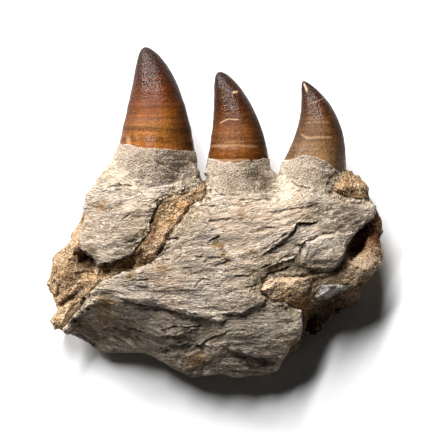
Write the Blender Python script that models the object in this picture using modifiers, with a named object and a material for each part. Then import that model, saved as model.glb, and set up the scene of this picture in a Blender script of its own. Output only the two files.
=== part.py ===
"""Fossil mosasaur jaw: a broken length of jaw bone with three teeth, in sandy matrix.

Blender 4.5, metres, +Z up. The block lies on its flat broken back at z = 0, its teeth point along +Y,
and the origin is under the middle of its outline. The bone is a thick slab in two pieces and a splinter,
parted by sand-filled cracks. The matrix is the rock behind it, which rises between and beside the bones.
The numbers in the tables are millimetres.
"""

import math

import bmesh
import bpy
import numpy as np
from mathutils import Vector, noise

MM = 0.001

# Driving dimensions
AXIS_HEIGHT = 24.0  # the teeth's axis above the surface that the block lies on
TOOTH_DEPTH = 0.80  # a tooth's thickness from front to back, as a share of its width
TIP_CURL = 5.0  # how far a tip curls back, towards the surface
KEEL = 0.05  # how far the two cutting edges stand out, as a share of the half width
BLUNT_TIP = 0.004  # the share of the height at which a tip is rounded off
MARGIN_FADE = 0.7  # the share of the height over which the slant of the margin dies away
CLEARANCE = 0.4  # gap between pieces that touch
COVER = 6.0  # how far below the bone's front the matrix stays where bone covers it

# Each tooth follows one rule. From the tip, share 0, to the enamel margin, share 1, its width grows as
# width * share ** swell, and its middle line is base x + lean * (1 - share) - hook * (1 - share) ** bend.
TEETH = {
    "large_tooth": dict(base=(-27.5, 29.6), height=50.2, width=35.3, swell=0.52,
                        lean=0.0, hook=5.7, bend=3.45, margin_slope=-0.11),
    "middle_tooth": dict(base=(11.5, 23.4), height=43.9, width=28.6, swell=0.49,
                         lean=0.0, hook=8.8, bend=2.5, margin_slope=-0.03),
    "small_tooth": dict(base=(48.1, 21.0), height=41.5, width=29.0, swell=0.60,
                        lean=9.5, hook=14.6, bend=2.6, margin_slope=-0.24),
}
TOOTH_SIDES = 18
TOOTH_RINGS = 9
RING_CROWDING = 1.5  # over 1 sets the rings closer together towards the tip

# The bony root under each crown: y, middle x, half width, half depth, from the margin down into the jaw.
ROOTS = {
    "large_tooth": [(29.2, -27.5, 18.0, 14.4), (24.0, -28.6, 19.4, 15.6), (16.0, -29.5, 20.6, 16.6),
                    (6.0, -29.5, 20.0, 15.0)],
    "middle_tooth": [(23.0, 11.4, 14.2, 12.2), (18.0, 11.8, 15.8, 14.2), (11.0, 11.8, 17.0, 16.0),
                     (3.0, 11.8, 16.0, 14.0)],
    "small_tooth": [(20.6, 48.1, 14.6, 12.4), (15.5, 47.2, 15.4, 14.0), (9.0, 45.8, 16.0, 15.4),
                    (1.0, 45.5, 15.0, 13.0)],
}

# Outlines seen from above, as (x, y)
JAW_OUTLINE = [
    (-5, 19.5), (-3, 22), (2.5, 21), (19.5, 21), (27, 20.5), (30.5, 16.5), (34, 19), (41, 18.5),
    (53, 16), (57.5, 14), (57, 11.5), (62.5, 7), (70, 6), (76, 4.5), (78, 1.5), (76.5, -3), (72, -6),
    (68, -9), (65, -12.5), (63, -17.5), (60.5, -22.5), (57.5, -27.5), (49.5, -30), (41, -31.5),
    (31.5, -31.5), (24, -33), (22, -36.5), (24, -40.5), (27.5, -41), (33.5, -43), (37.5, -46),
    (43, -46.5), (42.5, -50.5), (42, -57), (40.5, -61), (36, -65.5), (34, -69), (32.5, -72.5),
    (31, -76.5), (23, -78.5), (17, -79), (10, -80), (1.5, -78), (-4.5, -80), (-12, -80),
    (-16.5, -78.5), (-21.5, -75.5), (-27, -72.5), (-31, -69.5), (-36, -68), (-44.5, -68.5),
    (-52, -68.5), (-60.5, -65), (-68, -61), (-73, -57.5), (-69.5, -51), (-63.5, -45), (-59, -38),
    (-55.5, -33), (-51, -31), (-43.5, -28.5), (-36, -27), (-31, -24), (-27, -19), (-24, -13.5),
    (-21.5, -9), (-17.5, -5), (-14, 0.5), (-11, 4), (-5, 6), (-4, 12.5),
]
FRAGMENT_OUTLINE = [
    (-45, 28.5), (-48, 25), (-51.5, 22), (-56.5, 15.5), (-60, 10.5), (-62, 5.5), (-63, 1.5),
    (-62.5, -3), (-64.5, -8), (-64.5, -14), (-62.5, -19.5), (-58.5, -22), (-56, -26.5),
    (-49, -24.5), (-44.5, -23.5), (-39.5, -21.5), (-36, -18), (-33, -14), (-30.5, -9.5), (-29, -5),
    (-27, 1), (-25, 4), (-21.5, 6.5), (-15.5, 8), (-10, 10), (-6.5, 12), (-6, 16), (-8, 20),
    (-10, 24), (-12, 26), (-26, 26.5), (-40.5, 27.5),
]
SPLINTER_OUTLINE = [
    (48, -34.5), (55.5, -34), (65, -34), (67, -35.5), (62.5, -38), (56.5, -40.5), (50.5, -42.5),
    (48, -41.5),
]
MATRIX_OUTLINE = [
    (-59, 5.5), (-62.5, 0.5), (-65, -5), (-66.5, -8), (-69, -13), (-71, -18), (-74, -20),
    (-77.5, -21.5), (-78.5, -25), (-78, -28), (-79.5, -31.5), (-81, -34.5), (-78.5, -37.5),
    (-76.5, -41), (-75.5, -45.5), (-73.5, -45), (-75.5, -48), (-78, -51), (-78.5, -55.5),
    (-76, -57.5), (-72, -57), (-67, -58), (-60, -62), (-50, -65), (-40.5, -64), (-31, -66.5),
    (-21.5, -71.5), (-12, -75), (12, -75.5), (26.5, -73), (33, -69), (39, -66), (44.5, -61),
    (51, -56), (60, -50), (66, -46), (69, -42.5), (70.5, -37.5), (71.5, -33.5), (75.5, -30),
    (79.5, -26), (80.5, -21.5), (79.5, -17), (79.5, -13), (81, -8.5), (80, -4.5), (78, -1),
    (76.5, 3), (73, 5.5), (74, 8), (74.5, 10.5), (72.5, 13), (69, 16.5), (65, 18.5), (61.5, 19),
    (58.5, 16.5), (54.5, 13), (41, 11.5), (31.5, 12.5), (17, 11.5), (0, 12.5), (-7, 14),
    (-16.5, 12.5), (-31, 13.5), (-43, 13.5), (-52.5, 9.5),
]

# Heights of the front, (x, y, z): the sheet that passes through them is smooth between them.
BONE_FRONT = [
    (-50, 5.5, 38), (-60, -1.5, 34), (-31, 8, 41), (-45.5, -11, 42.5), (-31, -16, 43),
    (-55, -24, 41), (-7, 5.5, 41.5), (12, 5.5, 42), (36, 6.5, 42), (60, 3, 39), (75.5, 2.5, 33),
    (-16.5, -18.5, 45), (7.5, -16, 46), (31.5, -13.5, 45.5), (50.5, -18.5, 43), (62.5, -13.5, 41),
    (-26, -35, 43.5), (2.5, -35, 45), (22, -28, 45), (46, -28, 40), (-50, -35, 40),
    (-64.5, -48, 33), (-72, -57, 27), (-40.5, -41.5, 42), (-16.5, -45, 43), (7.5, -48, 42),
    (36, -45, 37), (-50, -52, 27), (-31, -53, 34), (-7, -59, 35), (17, -57, 37), (38.5, -57, 33),
    (-67, -60, 15), (-55, -64, 14), (-40.5, -66.5, 15), (-28.5, -70, 17), (-7, -77, 20),
    (12, -78, 22), (30.5, -75, 22), (17, -69, 28), (-7, -69, 28), (34, -66.5, 27),
    (-50, 21, 31), (-57, 13, 33), (-12, 22, 34), (-5, 18, 33), (0, 21, 33), (26, 19, 33),
    (31, 15, 32), (36, 18, 33), (58, 13, 34), (63, 7, 36),
]
BONE_BACK = [
    (-62, 0, 23), (-30, 20, 14), (10, 18, 14), (48, 14, 14), (76, 2, 24), (-60, -20, 24),
    (0, -20, 20), (62, -15, 25), (40, -32, 24), (-60, -40, 18), (-70, -56, 12), (-50, -62, 6),
    (0, -45, 18), (-25, -70, 8), (0, -78, 11), (30, -75, 12), (42, -50, 20),
]
SPLINTER_FRONT = [(48, -34.5, 38), (66, -34.5, 34), (50, -42, 33), (58, -39.5, 32), (56, -36, 37)]
SPLINTER_BACK = [(48, -34, 25), (66, -34, 24), (50, -42, 22)]
MATRIX_FRONT = [
    (-76.5, -24, 27), (-80, -34, 25), (-69.5, -24, 33), (-67, -35, 34), (-60, -28, 33),
    (-74, -42.5, 27), (-62, -40, 36), (-77, -53, 22), (-73, -49.5, 26), (-5.5, 9, 38),
    (-21.5, 3, 40), (-28.5, -11, 41), (-36, -22, 40), (-50, -27, 37), (-56, -30.5, 35),
    (23, -34.5, 43), (34, -37.5, 41), (45, -41, 33), (47, -33, 37), (55.5, -30.5, 37), (65, -28, 34),
    (74.5, -21, 31), (78.5, -25.5, 27), (72, -16, 31), (70, -11, 31), (79.5, -9, 25),
    (75.5, -5, 28), (62.5, 15, 34), (70, 10.5, 32), (73.5, 8, 29), (59.5, 10.5, 37),
    (57, -43, 25), (67, -38, 27), (62.5, -46, 16), (55.5, -50, 13), (67.5, -45, 12), (46, -57, 12),
    (7.5, -9, 38),
    (7.5, -52, 33), (-31, -52, 24), (-55, -57, 10), (-50, -6.5, 35), (-7, -66.5, 18),
    (31.5, -66.5, 18), (-65.5, -9.5, 29), (-60.5, 3, 30),
]
BACK_RISE = 9.0  # how far the back's broken rim stands off the surface
BACK_REACH = 15.0  # how far in from the outline that rim starts

# Broken stone: how far the front's rim is worn down, how deep and how long its lumps are, and the share
# of the height, from the back, at which they start
BONE_WEAR = dict(rim=1.4, reach=2.2, lumps=1.3, length=(16.0, 6.0, 8.0), start=0.25)
MATRIX_WEAR = dict(rim=3.0, reach=4.5, lumps=1.8, length=(9.0, 9.0, 7.0), start=0.0)

# Ledges of broken bone: the ground right of each path drops, and comes up again within the reach.
LEDGES = [
    dict(path=[(-45.5, -40), (-38, -42), (-31, -44), (-15.5, -46.5), (-7, -49.5), (0, -51),
               (6.5, -51.5)], drop=3.4, reach=13),
    dict(path=[(3, -48), (12, -48.5), (18, -45), (23, -43), (25, -40.5)], drop=2.0, reach=9),
    dict(path=[(2.5, -63), (12, -66.5), (23, -69), (34, -70)], drop=3.6, reach=8),
    dict(path=[(-45, -54), (-36, -57), (-26, -59.5), (-16, -59), (-5, -54.5)], drop=1.8, reach=8),
    dict(path=[(-27, -68), (-19, -64), (-9.5, -63), (0, -64)], drop=2.2, reach=7),
    dict(path=[(23, -20), (29, -16), (35, -11.5), (38, -7), (39.5, -5), (49, -5)], drop=2.4, reach=6),
    dict(path=[(24, -27), (31, -24), (40, -21)], drop=1.4, reach=6),
]
# A raised flake of bone at the right, parted from the rest by a crack
FLAKE = [(43, -14), (50, -11.5), (60, -8), (70, -7.5), (66, -24), (56, -29), (42, -27.5), (40.5, -22.5)]
FLAKE_LIFT = 2.0
GROOVES = [  # cracks in the bone, and the creases at the foot of the roots
    dict(path=[(43, -13.5), (40.5, -18), (40.5, -24), (42, -27.5)], width=1.0, depth=2.2),
    dict(path=[(-50, 12), (-44, 12.3), (-38, 11.5)], width=1.2, depth=1.2),
    dict(path=[(-1, 10.5), (4, 7.5), (12, 7)], width=1.5, depth=1.4),
    dict(path=[(36, 14), (41, 11.5), (48, 10.5), (56, 11.5)], width=1.5, depth=1.4),
]
MATRIX_GROOVES = [
    dict(path=[(-75.5, -45), (-71.5, -42.5), (-67, -39.5), (-63, -37), (-59, -34.5)], width=1.3, depth=3.5),
]
MATRIX_PITS = [  # x, y, radius, depth
    (-61.5, -22.5, 4.5, 9), (-53.5, -29, 2.2, 6), (-41, -26, 3.0, 5), (-33, -24, 2.5, 5),
    (25.5, -39, 1.8, 2.5), (68, -14, 4.0, 4),
]

# Facet counts left after thinning each stone piece
JAW_FACES = 3000
FRAGMENT_FACES = 1000
SPLINTER_FACES = 110
MATRIX_FACES = 2150
CELL = 1.6  # the grid on which the stone's relief is laid out
SLAB = 16.0  # thickness of the plain slab that is drawn out to the relief
GROUND = 1.0  # what lies lower than this is the flat that the block rests on
LEDGE_RUN = 1.6  # how wide the broken face of a ledge is

COLOURS = {  # base colour, roughness
    "bone": ((0.52, 0.46, 0.40), 0.85),
    "sandstone": ((0.45, 0.30, 0.17), 0.95),
    "enamel": ((0.30, 0.12, 0.045), 0.35),
}


def clear_scene():
    for obj in list(bpy.data.objects):
        bpy.data.objects.remove(obj, do_unlink=True)


def collection(name, hidden=False):
    made = bpy.data.collections.new(name)
    made.hide_render = hidden
    bpy.context.scene.collection.children.link(made)
    return made


def material(name):
    colour, roughness = COLOURS[name]
    made = bpy.data.materials.new(name)
    made.use_nodes = True
    shader = made.node_tree.nodes["Principled BSDF"]
    shader.inputs["Base Color"].default_value = (*colour, 1.0)
    shader.inputs["Roughness"].default_value = roughness
    return made


def sheet(heights):
    """A smooth sheet through hand-set heights, a thin-plate spline: a function of an array of (x, y)."""
    known = np.array(heights, float)
    places, count = known[:, :2], len(known)

    def bend(a):
        square = ((a[:, None, :] - places[None, :, :]) ** 2).sum(-1)
        return square * np.log(square + 1e-9)

    plane = np.c_[np.ones(count), places]
    system = np.block([[bend(places), plane], [plane.T, np.zeros((3, 3))]])
    weights = np.linalg.solve(system, np.r_[known[:, 2], 0, 0, 0])
    return lambda xy: bend(xy) @ weights[:count] + np.c_[np.ones(len(xy)), xy] @ weights[count:]


def along_path(xy, path, closed=False):
    """For each point: distance to the path, which side it is on (+1 left), and how far along, 0 to 1."""
    corners = np.array(path + path[:1] if closed else path, float)
    start, run = corners[:-1], np.diff(corners, axis=0)
    lengths = np.linalg.norm(run, axis=1)
    away = xy[:, None, :] - start[None, :, :]
    share = np.clip((away * run).sum(-1) / lengths**2, 0, 1)
    gap = away - share[..., None] * run
    distance = np.linalg.norm(gap, axis=2)
    nearest = distance.argmin(axis=1)
    rows = np.arange(len(xy))
    turn = run[nearest, 0] * away[rows, nearest, 1] - run[nearest, 1] * away[rows, nearest, 0]
    before = np.r_[0, np.cumsum(lengths)]
    reached = (before[nearest] + share[rows, nearest] * lengths[nearest]) / before[-1]
    return distance[rows, nearest], np.sign(turn), reached


def inside(xy, outline):
    """True for each point that the outline encloses."""
    corners = np.array(outline, float)
    following = np.roll(corners, -1, axis=0)
    x, y = xy[:, :1], xy[:, 1:]
    crosses = (corners[:, 1] > y) != (following[:, 1] > y)
    rise = np.where(following[:, 1] == corners[:, 1], 1.0, following[:, 1] - corners[:, 1])
    at = corners[:, 0] + (y - corners[:, 1]) * (following[:, 0] - corners[:, 0]) / rise
    return (crosses & (x < at)).sum(axis=1) % 2 == 1


def smooth(value):
    value = np.clip(value, 0, 1)
    return value * value * (3 - 2 * value)


def ledge(xy, path, drop, reach):
    """The ground drops right of the path and comes up again within the reach."""
    distance, side, along = along_path(xy, path)
    below = smooth(0.5 - side * distance / LEDGE_RUN)
    fade = np.exp(-((distance / reach) ** 2)) * smooth(6 * along * (1 - along) + 0.15)
    return -drop * below * fade


def groove(xy, path, width, depth):
    distance, _, along = along_path(xy, path)
    return -depth * np.exp(-((distance / width) ** 2)) * smooth(8 * along * (1 - along) + 0.2)


def pit(xy, x, y, radius, depth):
    return -depth * np.exp(-(((xy - (x, y)) ** 2).sum(-1)) / radius**2)


def bone_front(xy):
    """Height of the bone's front: its swell, ledges, raised flake, cracks and creases."""
    z = sheet(BONE_FRONT)(xy)
    for shape in LEDGES:
        z = z + ledge(xy, **shape)
    for shape in GROOVES:
        z = z + groove(xy, **shape)
    edge, _, _ = along_path(xy, FLAKE, closed=True)
    return z + FLAKE_LIFT * np.where(inside(xy, FLAKE), smooth(edge / 1.6), 0)


def matrix_front(xy):
    z = sheet(MATRIX_FRONT)(xy)
    for shape in MATRIX_GROOVES:
        z = z + groove(xy, **shape)
    for shape in MATRIX_PITS:
        z = z + pit(xy, *shape)
    covered = inside(xy, JAW_OUTLINE) | inside(xy, FRAGMENT_OUTLINE)
    return np.where(covered, np.minimum(z, bone_front(xy) - COVER), z)


def matrix_back(xy):
    """Flat where the block rests, and rising to a broken rim."""
    edge, _, _ = along_path(xy, MATRIX_OUTLINE, closed=True)
    return BACK_RISE * smooth(1 - edge / BACK_REACH) ** 1.5


def add_mesh(name, mesh, group):
    obj = bpy.data.objects.new(name, mesh)
    group.objects.link(obj)
    return obj


def settled(obj, group):
    """The object with its modifiers made real, under the same name."""
    bpy.context.view_layer.update()
    evaluated = obj.evaluated_get(bpy.context.evaluated_depsgraph_get())
    mesh = bpy.data.meshes.new_from_object(evaluated)
    mesh.transform(obj.matrix_world)
    name = obj.name
    bpy.data.objects.remove(obj, do_unlink=True)
    mesh.name = name
    return add_mesh(name, mesh, group)


def weld(obj, distance=1e-6):
    shape = bmesh.new()
    shape.from_mesh(obj.data)
    bmesh.ops.remove_doubles(shape, verts=shape.verts, dist=distance)
    bmesh.ops.recalc_face_normals(shape, faces=shape.faces)
    shape.to_mesh(obj.data)
    shape.free()


def wear_down(obj, share, lumps, length, start):
    """Pushes a broken surface in and out in long lumps. What lies flat on the ground stays flat."""
    amount = lumps * smooth((share - start) / 0.2 + 1)
    for vertex, depth in zip(obj.data.vertices, amount):
        place = Vector(part / (MM * size) for part, size in zip(vertex.co, length))
        push = noise.noise(place) + 0.5 * noise.noise(place * 2.3 + Vector((7, 3, 1)))
        if vertex.co.z > GROUND * MM:
            vertex.co += vertex.normal * push * depth * MM
            vertex.co.z = max(vertex.co.z, GROUND / 2 * MM)


def slab(name, outline, front, back, faces, wear, group):
    """A stone slab of that outline: a plain plate, laid out on a grid, drawn out to its front and back."""
    curve = bpy.data.curves.new(name, "CURVE")
    curve.dimensions = "2D"
    curve.fill_mode = "BOTH"
    curve.extrude = SLAB / 2 * MM
    edge = curve.splines.new("POLY")
    edge.points.add(len(outline) - 1)
    for point, (x, y) in zip(edge.points, outline):
        point.co = (x * MM, y * MM, 0, 1)
    edge.use_cyclic_u = True
    obj = settled(add_mesh(name, curve, group), group)
    weld(obj)
    grid = obj.modifiers.new("grid", "REMESH")
    grid.mode = "VOXEL"
    grid.voxel_size = CELL * MM
    obj = settled(obj, group)
    points = np.empty(len(obj.data.vertices) * 3)
    obj.data.vertices.foreach_get("co", points)
    points = points.reshape(-1, 3) / MM
    xy = points[:, :2]
    share = np.clip(points[:, 2] / SLAB + 0.5, 0, 1)
    edge, _, _ = along_path(xy, outline, closed=True)
    top = front(xy) - wear["rim"] * smooth(1 - edge / wear["reach"])
    points[:, 2] = back(xy) + share * (top - back(xy))
    obj.data.vertices.foreach_set("co", (points * MM).ravel())
    obj.data.update()
    wear_down(obj, share, wear["lumps"], wear["length"], wear["start"])
    thin = obj.modifiers.new("thin", "DECIMATE")
    thin.ratio = faces / (2 * len(obj.data.polygons))
    obj = settled(obj, group)
    weld(obj)
    return obj


def oval_column(name, sections, slope, group):
    """A closed column along y of keeled ovals, each (y, middle x, half width, half depth, z).

    It is a sphere on its side, whose rings are set to the ovals. The slope tilts each ring along y.
    """
    rings = len(sections)
    shape = bmesh.new()
    bmesh.ops.create_uvsphere(shape, u_segments=TOOTH_SIDES, v_segments=rings + 1, radius=1)
    for vertex in shape.verts:
        polar = math.acos(max(-1, min(1, vertex.co.z)))
        ring = round(polar / math.pi * (rings + 1))
        y, middle, half_width, half_depth, z = sections[min(max(ring - 1, 0), rings - 1)]
        around = math.atan2(vertex.co.y, vertex.co.x)
        spread = 0.0 if ring in (0, rings + 1) else 1.0
        keel = 1 + KEEL * math.cos(around) ** 8
        x = middle + spread * half_width * keel * math.cos(around)
        steep = slope(y) * (x - middle)
        vertex.co = (x * MM, (y + steep) * MM, (z - spread * half_depth * math.sin(around)) * MM)
    mesh = bpy.data.meshes.new(name)
    shape.to_mesh(mesh)
    shape.free()
    return add_mesh(name, mesh, group)


def crown(name, group):
    """One enamel crown, from its tip down to the margin where it meets its root."""
    tooth = TEETH[name]
    base_x, base_y = tooth["base"]
    sections = []
    for step in range(TOOTH_RINGS):
        share = max((step / (TOOTH_RINGS - 1)) ** RING_CROWDING, BLUNT_TIP)
        rest = 1 - share
        half_width = tooth["width"] / 2 * share ** tooth["swell"]
        middle = base_x + tooth["lean"] * rest - tooth["hook"] * rest ** tooth["bend"]
        z = AXIS_HEIGHT - TIP_CURL * rest**2
        sections.append((base_y + tooth["height"] * rest, middle, half_width, half_width * TOOTH_DEPTH, z))
    return oval_column(
        name,
        sections,
        lambda y: tooth["margin_slope"] * max(0, 1 - (y - base_y) / tooth["height"] / MARGIN_FADE),
        group,
    )


def root(name, group):
    """The bony root that carries a crown, from the margin down into the jaw."""
    slope = TEETH[name]["margin_slope"]
    rows = ROOTS[name]
    top, foot = rows[0][0], rows[-1][0]
    sections = [(y, x, half_width, half_depth, AXIS_HEIGHT) for y, x, half_width, half_depth in rows]
    return oval_column(name + "_root", sections, lambda y: slope * (y - foot) / (top - foot), group)


def join(obj, others, operation, group):
    """The object united with, or cut by, the others."""
    for other in others:
        step = obj.modifiers.new(operation, "BOOLEAN")
        step.operation = operation
        step.object = other
        step.solver = "MANIFOLD"
    return settled(obj, group)


def largest_body(obj):
    """Drops the crumbs that a cut leaves, and keeps the one big body."""
    shape = bmesh.new()
    shape.from_mesh(obj.data)
    unseen = set(shape.verts)
    bodies = []
    while unseen:
        reached = [unseen.pop()]
        body = list(reached)
        while reached:
            vertex = reached.pop()
            found = {edge.other_vert(vertex) for edge in vertex.link_edges} & unseen
            unseen -= found
            reached += found
            body += found
        bodies.append(body)
    bodies.sort(key=len)
    bmesh.ops.delete(shape, geom=[vertex for body in bodies[:-1] for vertex in body], context="VERTS")
    shape.to_mesh(obj.data)
    shape.free()


def swollen(obj, by, group):
    """A copy that stands proud all round, to cut a seat with a little clearance."""
    copy = add_mesh(obj.name + "_seat", obj.data.copy(), group)
    grow = copy.modifiers.new("grow", "DISPLACE")
    grow.strength = by * MM
    grow.mid_level = 0
    return settled(copy, group)


def dress(obj, name, materials):
    obj.data.materials.clear()
    obj.data.materials.append(materials[name])
    for face in obj.data.polygons:
        face.material_index = 0


def build():
    clear_scene()
    parts = collection("mosasaur_jaw")
    helpers = collection("helpers", hidden=True)
    materials = {name: material(name) for name in COLOURS}
    crowns = [crown(name, parts) for name in TEETH]
    roots = {name: root(name, helpers) for name in TEETH}

    back = sheet(BONE_BACK)
    jaw = slab("jaw_bone", JAW_OUTLINE, bone_front, back, JAW_FACES, BONE_WEAR, parts)
    jaw = join(jaw, [roots["middle_tooth"], roots["small_tooth"]], "UNION", parts)
    fragment = slab("jaw_fragment", FRAGMENT_OUTLINE, bone_front, back, FRAGMENT_FACES, BONE_WEAR, parts)
    fragment = join(fragment, [roots["large_tooth"]], "UNION", parts)
    splinter = slab("bone_splinter", SPLINTER_OUTLINE, sheet(SPLINTER_FRONT), sheet(SPLINTER_BACK),
                    SPLINTER_FACES, BONE_WEAR, parts)
    matrix = slab("matrix", MATRIX_OUTLINE, matrix_front, matrix_back, MATRIX_FACES, MATRIX_WEAR, parts)
    seated = [jaw, fragment, splinter, *crowns]
    seats = [swollen(obj, CLEARANCE, helpers) for obj in seated]
    matrix = join(matrix, seats, "DIFFERENCE", parts)
    largest_body(matrix)

    for obj in (jaw, fragment, splinter):
        dress(obj, "bone", materials)
    for obj in crowns:
        dress(obj, "enamel", materials)
        obj.data.shade_smooth()
    dress(matrix, "sandstone", materials)
    for helper in list(helpers.objects):
        helper.display_type = "WIRE"
        helper.hide_render = True


build()
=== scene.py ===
import itertools
import math
from functools import partial

import bmesh
import bpy
import numpy as np
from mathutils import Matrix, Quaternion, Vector
from mathutils.bvhtree import BVHTree


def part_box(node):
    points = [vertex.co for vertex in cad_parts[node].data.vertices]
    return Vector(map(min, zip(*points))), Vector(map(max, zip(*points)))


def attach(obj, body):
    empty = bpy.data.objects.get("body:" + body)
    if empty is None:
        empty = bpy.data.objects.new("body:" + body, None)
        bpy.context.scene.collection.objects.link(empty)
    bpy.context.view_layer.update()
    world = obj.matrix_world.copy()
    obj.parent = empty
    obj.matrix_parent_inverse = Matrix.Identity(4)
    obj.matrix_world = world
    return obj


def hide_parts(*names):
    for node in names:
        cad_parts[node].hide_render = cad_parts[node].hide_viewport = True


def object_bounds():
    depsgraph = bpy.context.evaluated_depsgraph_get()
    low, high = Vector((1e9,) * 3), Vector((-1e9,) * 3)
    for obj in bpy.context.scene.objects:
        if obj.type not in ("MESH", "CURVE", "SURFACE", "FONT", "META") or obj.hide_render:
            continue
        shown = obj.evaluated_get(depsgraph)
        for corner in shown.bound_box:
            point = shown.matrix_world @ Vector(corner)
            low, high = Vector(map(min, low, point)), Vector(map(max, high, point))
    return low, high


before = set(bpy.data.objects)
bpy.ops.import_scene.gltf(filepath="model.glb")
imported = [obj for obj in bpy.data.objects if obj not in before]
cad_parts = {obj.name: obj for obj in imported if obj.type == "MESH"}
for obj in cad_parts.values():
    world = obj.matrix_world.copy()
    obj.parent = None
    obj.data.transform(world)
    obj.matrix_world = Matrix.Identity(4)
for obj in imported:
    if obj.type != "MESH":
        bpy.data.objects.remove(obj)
cad_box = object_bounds()

# A fossil mosasaur jaw: cracked, fibrous bone and brown enamel crowns in sandy phosphate rock.
# The tables are in millimetres, in the frame of the solids: +X along the jaw, +Y the way the teeth
# point, +Z up out of the front. Meshes are in metres.

MM = 0.001

# ---- Sizes ----

BONE_CELL = 0.37  # the fineness of the grid that carries the bone's relief
MATRIX_CELL = 0.5
PIECE_TRIANGLES = 190000
NEAR = 7.0  # a neighbouring piece further away than this counts as this far
TOUCHING = 1.4  # a face this close to a neighbouring piece, and turned towards it, is hidden by it
HIDDEN_DEPTH = 0.25  # the deepest that a hidden face is carved, so that no gap opens behind it
HIDDEN_SHARE = 0.1  # the share of the hidden faces' triangles that are kept
BACK_SHARE = 0.4  # the same for the faces at the back
RIM = 2.0  # this close to a neighbouring piece, the front is carved straight down
FACING = 0.2  # the front is where a normal's Z is more than this, and the back the same below zero
HOLLOW_RINGS = 12  # how many rings of neighbours a point's depth is compared with
FULL_HOLLOW = 0.3  # how much deeper than them a point is in a full hollow
UNDERSIDE = 0.6  # what lies lower than this is the flat that the block rests on
REST_HEIGHT = 0.01  # where that flat is put
BOX_GAP = 0.02  # how far inside the solids' box everything else stays
MATRIX_SWELL = 1.0  # the sand is laid on this much thicker, and carved back, so that it closes on the bone

# The crowns' rule, close to the one of the solids. From the tip, share 0, to the enamel margin,
# share 1, the width grows as width * share ** swell, and the middle line leans and hooks. The slant
# tilts the margin.
TEETH = {
    "large_tooth": dict(base_x=-27.5, base_y=29.6, height=50.2, width=35.3, swell=0.52, lean=0.0,
                        hook=5.7, bend=3.45, slant=-0.11),
    "middle_tooth": dict(base_x=11.5, base_y=23.4, height=44.4, width=28.6, swell=0.49, lean=0.0,
                         hook=8.8, bend=2.5, slant=-0.03),
    "small_tooth": dict(base_x=48.1, base_y=21.0, height=42.4, width=29.0, swell=0.60, lean=9.5,
                        hook=14.6, bend=2.6, slant=-0.24),
}
AXIS_HEIGHT = 24.0  # of the teeth's middle lines
TOOTH_DEPTH = 0.80  # front to back, as a share of the width
TIP_CURL = 5.0  # how far the tip bends back
KEEL = 0.05  # how far the cutting edges stand out, as a share of the half width
KEEL_SHARPNESS = 8
FACE_TURN = 0.12  # how much higher the crown's face lies, per millimetre to the right
BLUNT_TIP = 0.004
SLANT_FADE = 0.7  # how far up the crown the slant of the margin has died away
SWELLINGS = 0.9  # how much the growth swellings round the crown differ in height
WRINKLES = 0.22  # the same for the wrinkles
CROWN_FOOT = 1.04  # how far a crown goes down inside its root, as a share of its height
CROWN_SIDES = 220
CROWN_RINGS = 220

# ---- Fields: functions of arrays of points ----


def smooth(value):
    value = np.clip(value, 0, 1)
    return value * value * (3 - 2 * value)


def humps(distance, width):
    """1 at no distance, and dying away within a few widths."""
    return np.exp(-((distance / width) ** 2))


def sheet(heights):
    """A smooth sheet through given heights, a thin-plate spline: a function of an array of (x, y)."""
    known = np.array(heights, float)
    places, count = known[:, :2], len(known)

    def bend(a):
        square = ((a[:, None, :] - places[None, :, :]) ** 2).sum(-1)
        return square * np.log(square + 1e-9)

    plane = np.c_[np.ones(count), places]
    system = np.block([[bend(places), plane], [plane.T, np.zeros((3, 3))]])
    weights = np.linalg.solve(system, np.r_[known[:, 2], 0, 0, 0])
    return lambda xy: bend(xy) @ weights[:count] + np.c_[np.ones(len(xy)), xy] @ weights[count:]


def chance(cells, seed):
    """Three numbers from -1 to 1 that belong to each cell of a grid."""
    mixed = cells @ np.array([73856093, 19349663, 83492791]) + seed * 2654435761
    mixed = (mixed ^ (mixed >> 13)) * 1274126177 & 0xFFFFFFFF
    mixed = mixed ^ (mixed >> 16)
    return np.stack([(mixed >> shift & 255) / 127.5 - 1 for shift in (0, 8, 16)], axis=1)


def noise(points, seed=0):
    """Gradient noise, about -1 to 1, with lumps one unit across."""
    cell = np.floor(points).astype(np.int64)
    part = points - cell
    ease = part**3 * (part * (part * 6 - 15) + 10)
    total = np.zeros(len(points))
    for corner in itertools.product((0, 1), repeat=3):
        weight = np.where(corner, ease, 1 - ease).prod(axis=1)
        total += weight * (chance(cell + corner, seed) * (part - corner)).sum(axis=1)
    return total * 1.4


def facets(points, seed=0):
    """Flat faces that meet in sharp edges, about one unit across: heights from -1 to 1."""
    points = points @ [[0.8, 0.6, 0], [-0.48, 0.64, 0.6], [0.36, -0.48, 0.8]]
    cell = np.floor(points).astype(np.int64)
    part = points - cell
    order = np.argsort(-part, axis=1)
    steps = np.c_[np.ones(len(points)), -np.sort(-part, axis=1), np.zeros(len(points))]
    total = np.zeros(len(points))
    for i in range(4):
        total += (steps[:, i] - steps[:, i + 1]) * chance(cell, seed)[:, 0]
        if i < 3:
            cell[np.arange(len(points)), order[:, i]] += 1
    return total


def layered(points, octaves, seed=0):
    """Noise on noise: each layer is half as large and half as strong as the last."""
    return sum(noise(points * 2**i, seed + i) / 2**i for i in range(octaves))


def wandering(points, size, seed):
    """Offsets across the front, -1 to 1, that change over `size` millimetres."""
    return np.c_[noise(points / size, seed), noise(points / size, seed + 1)]


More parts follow.
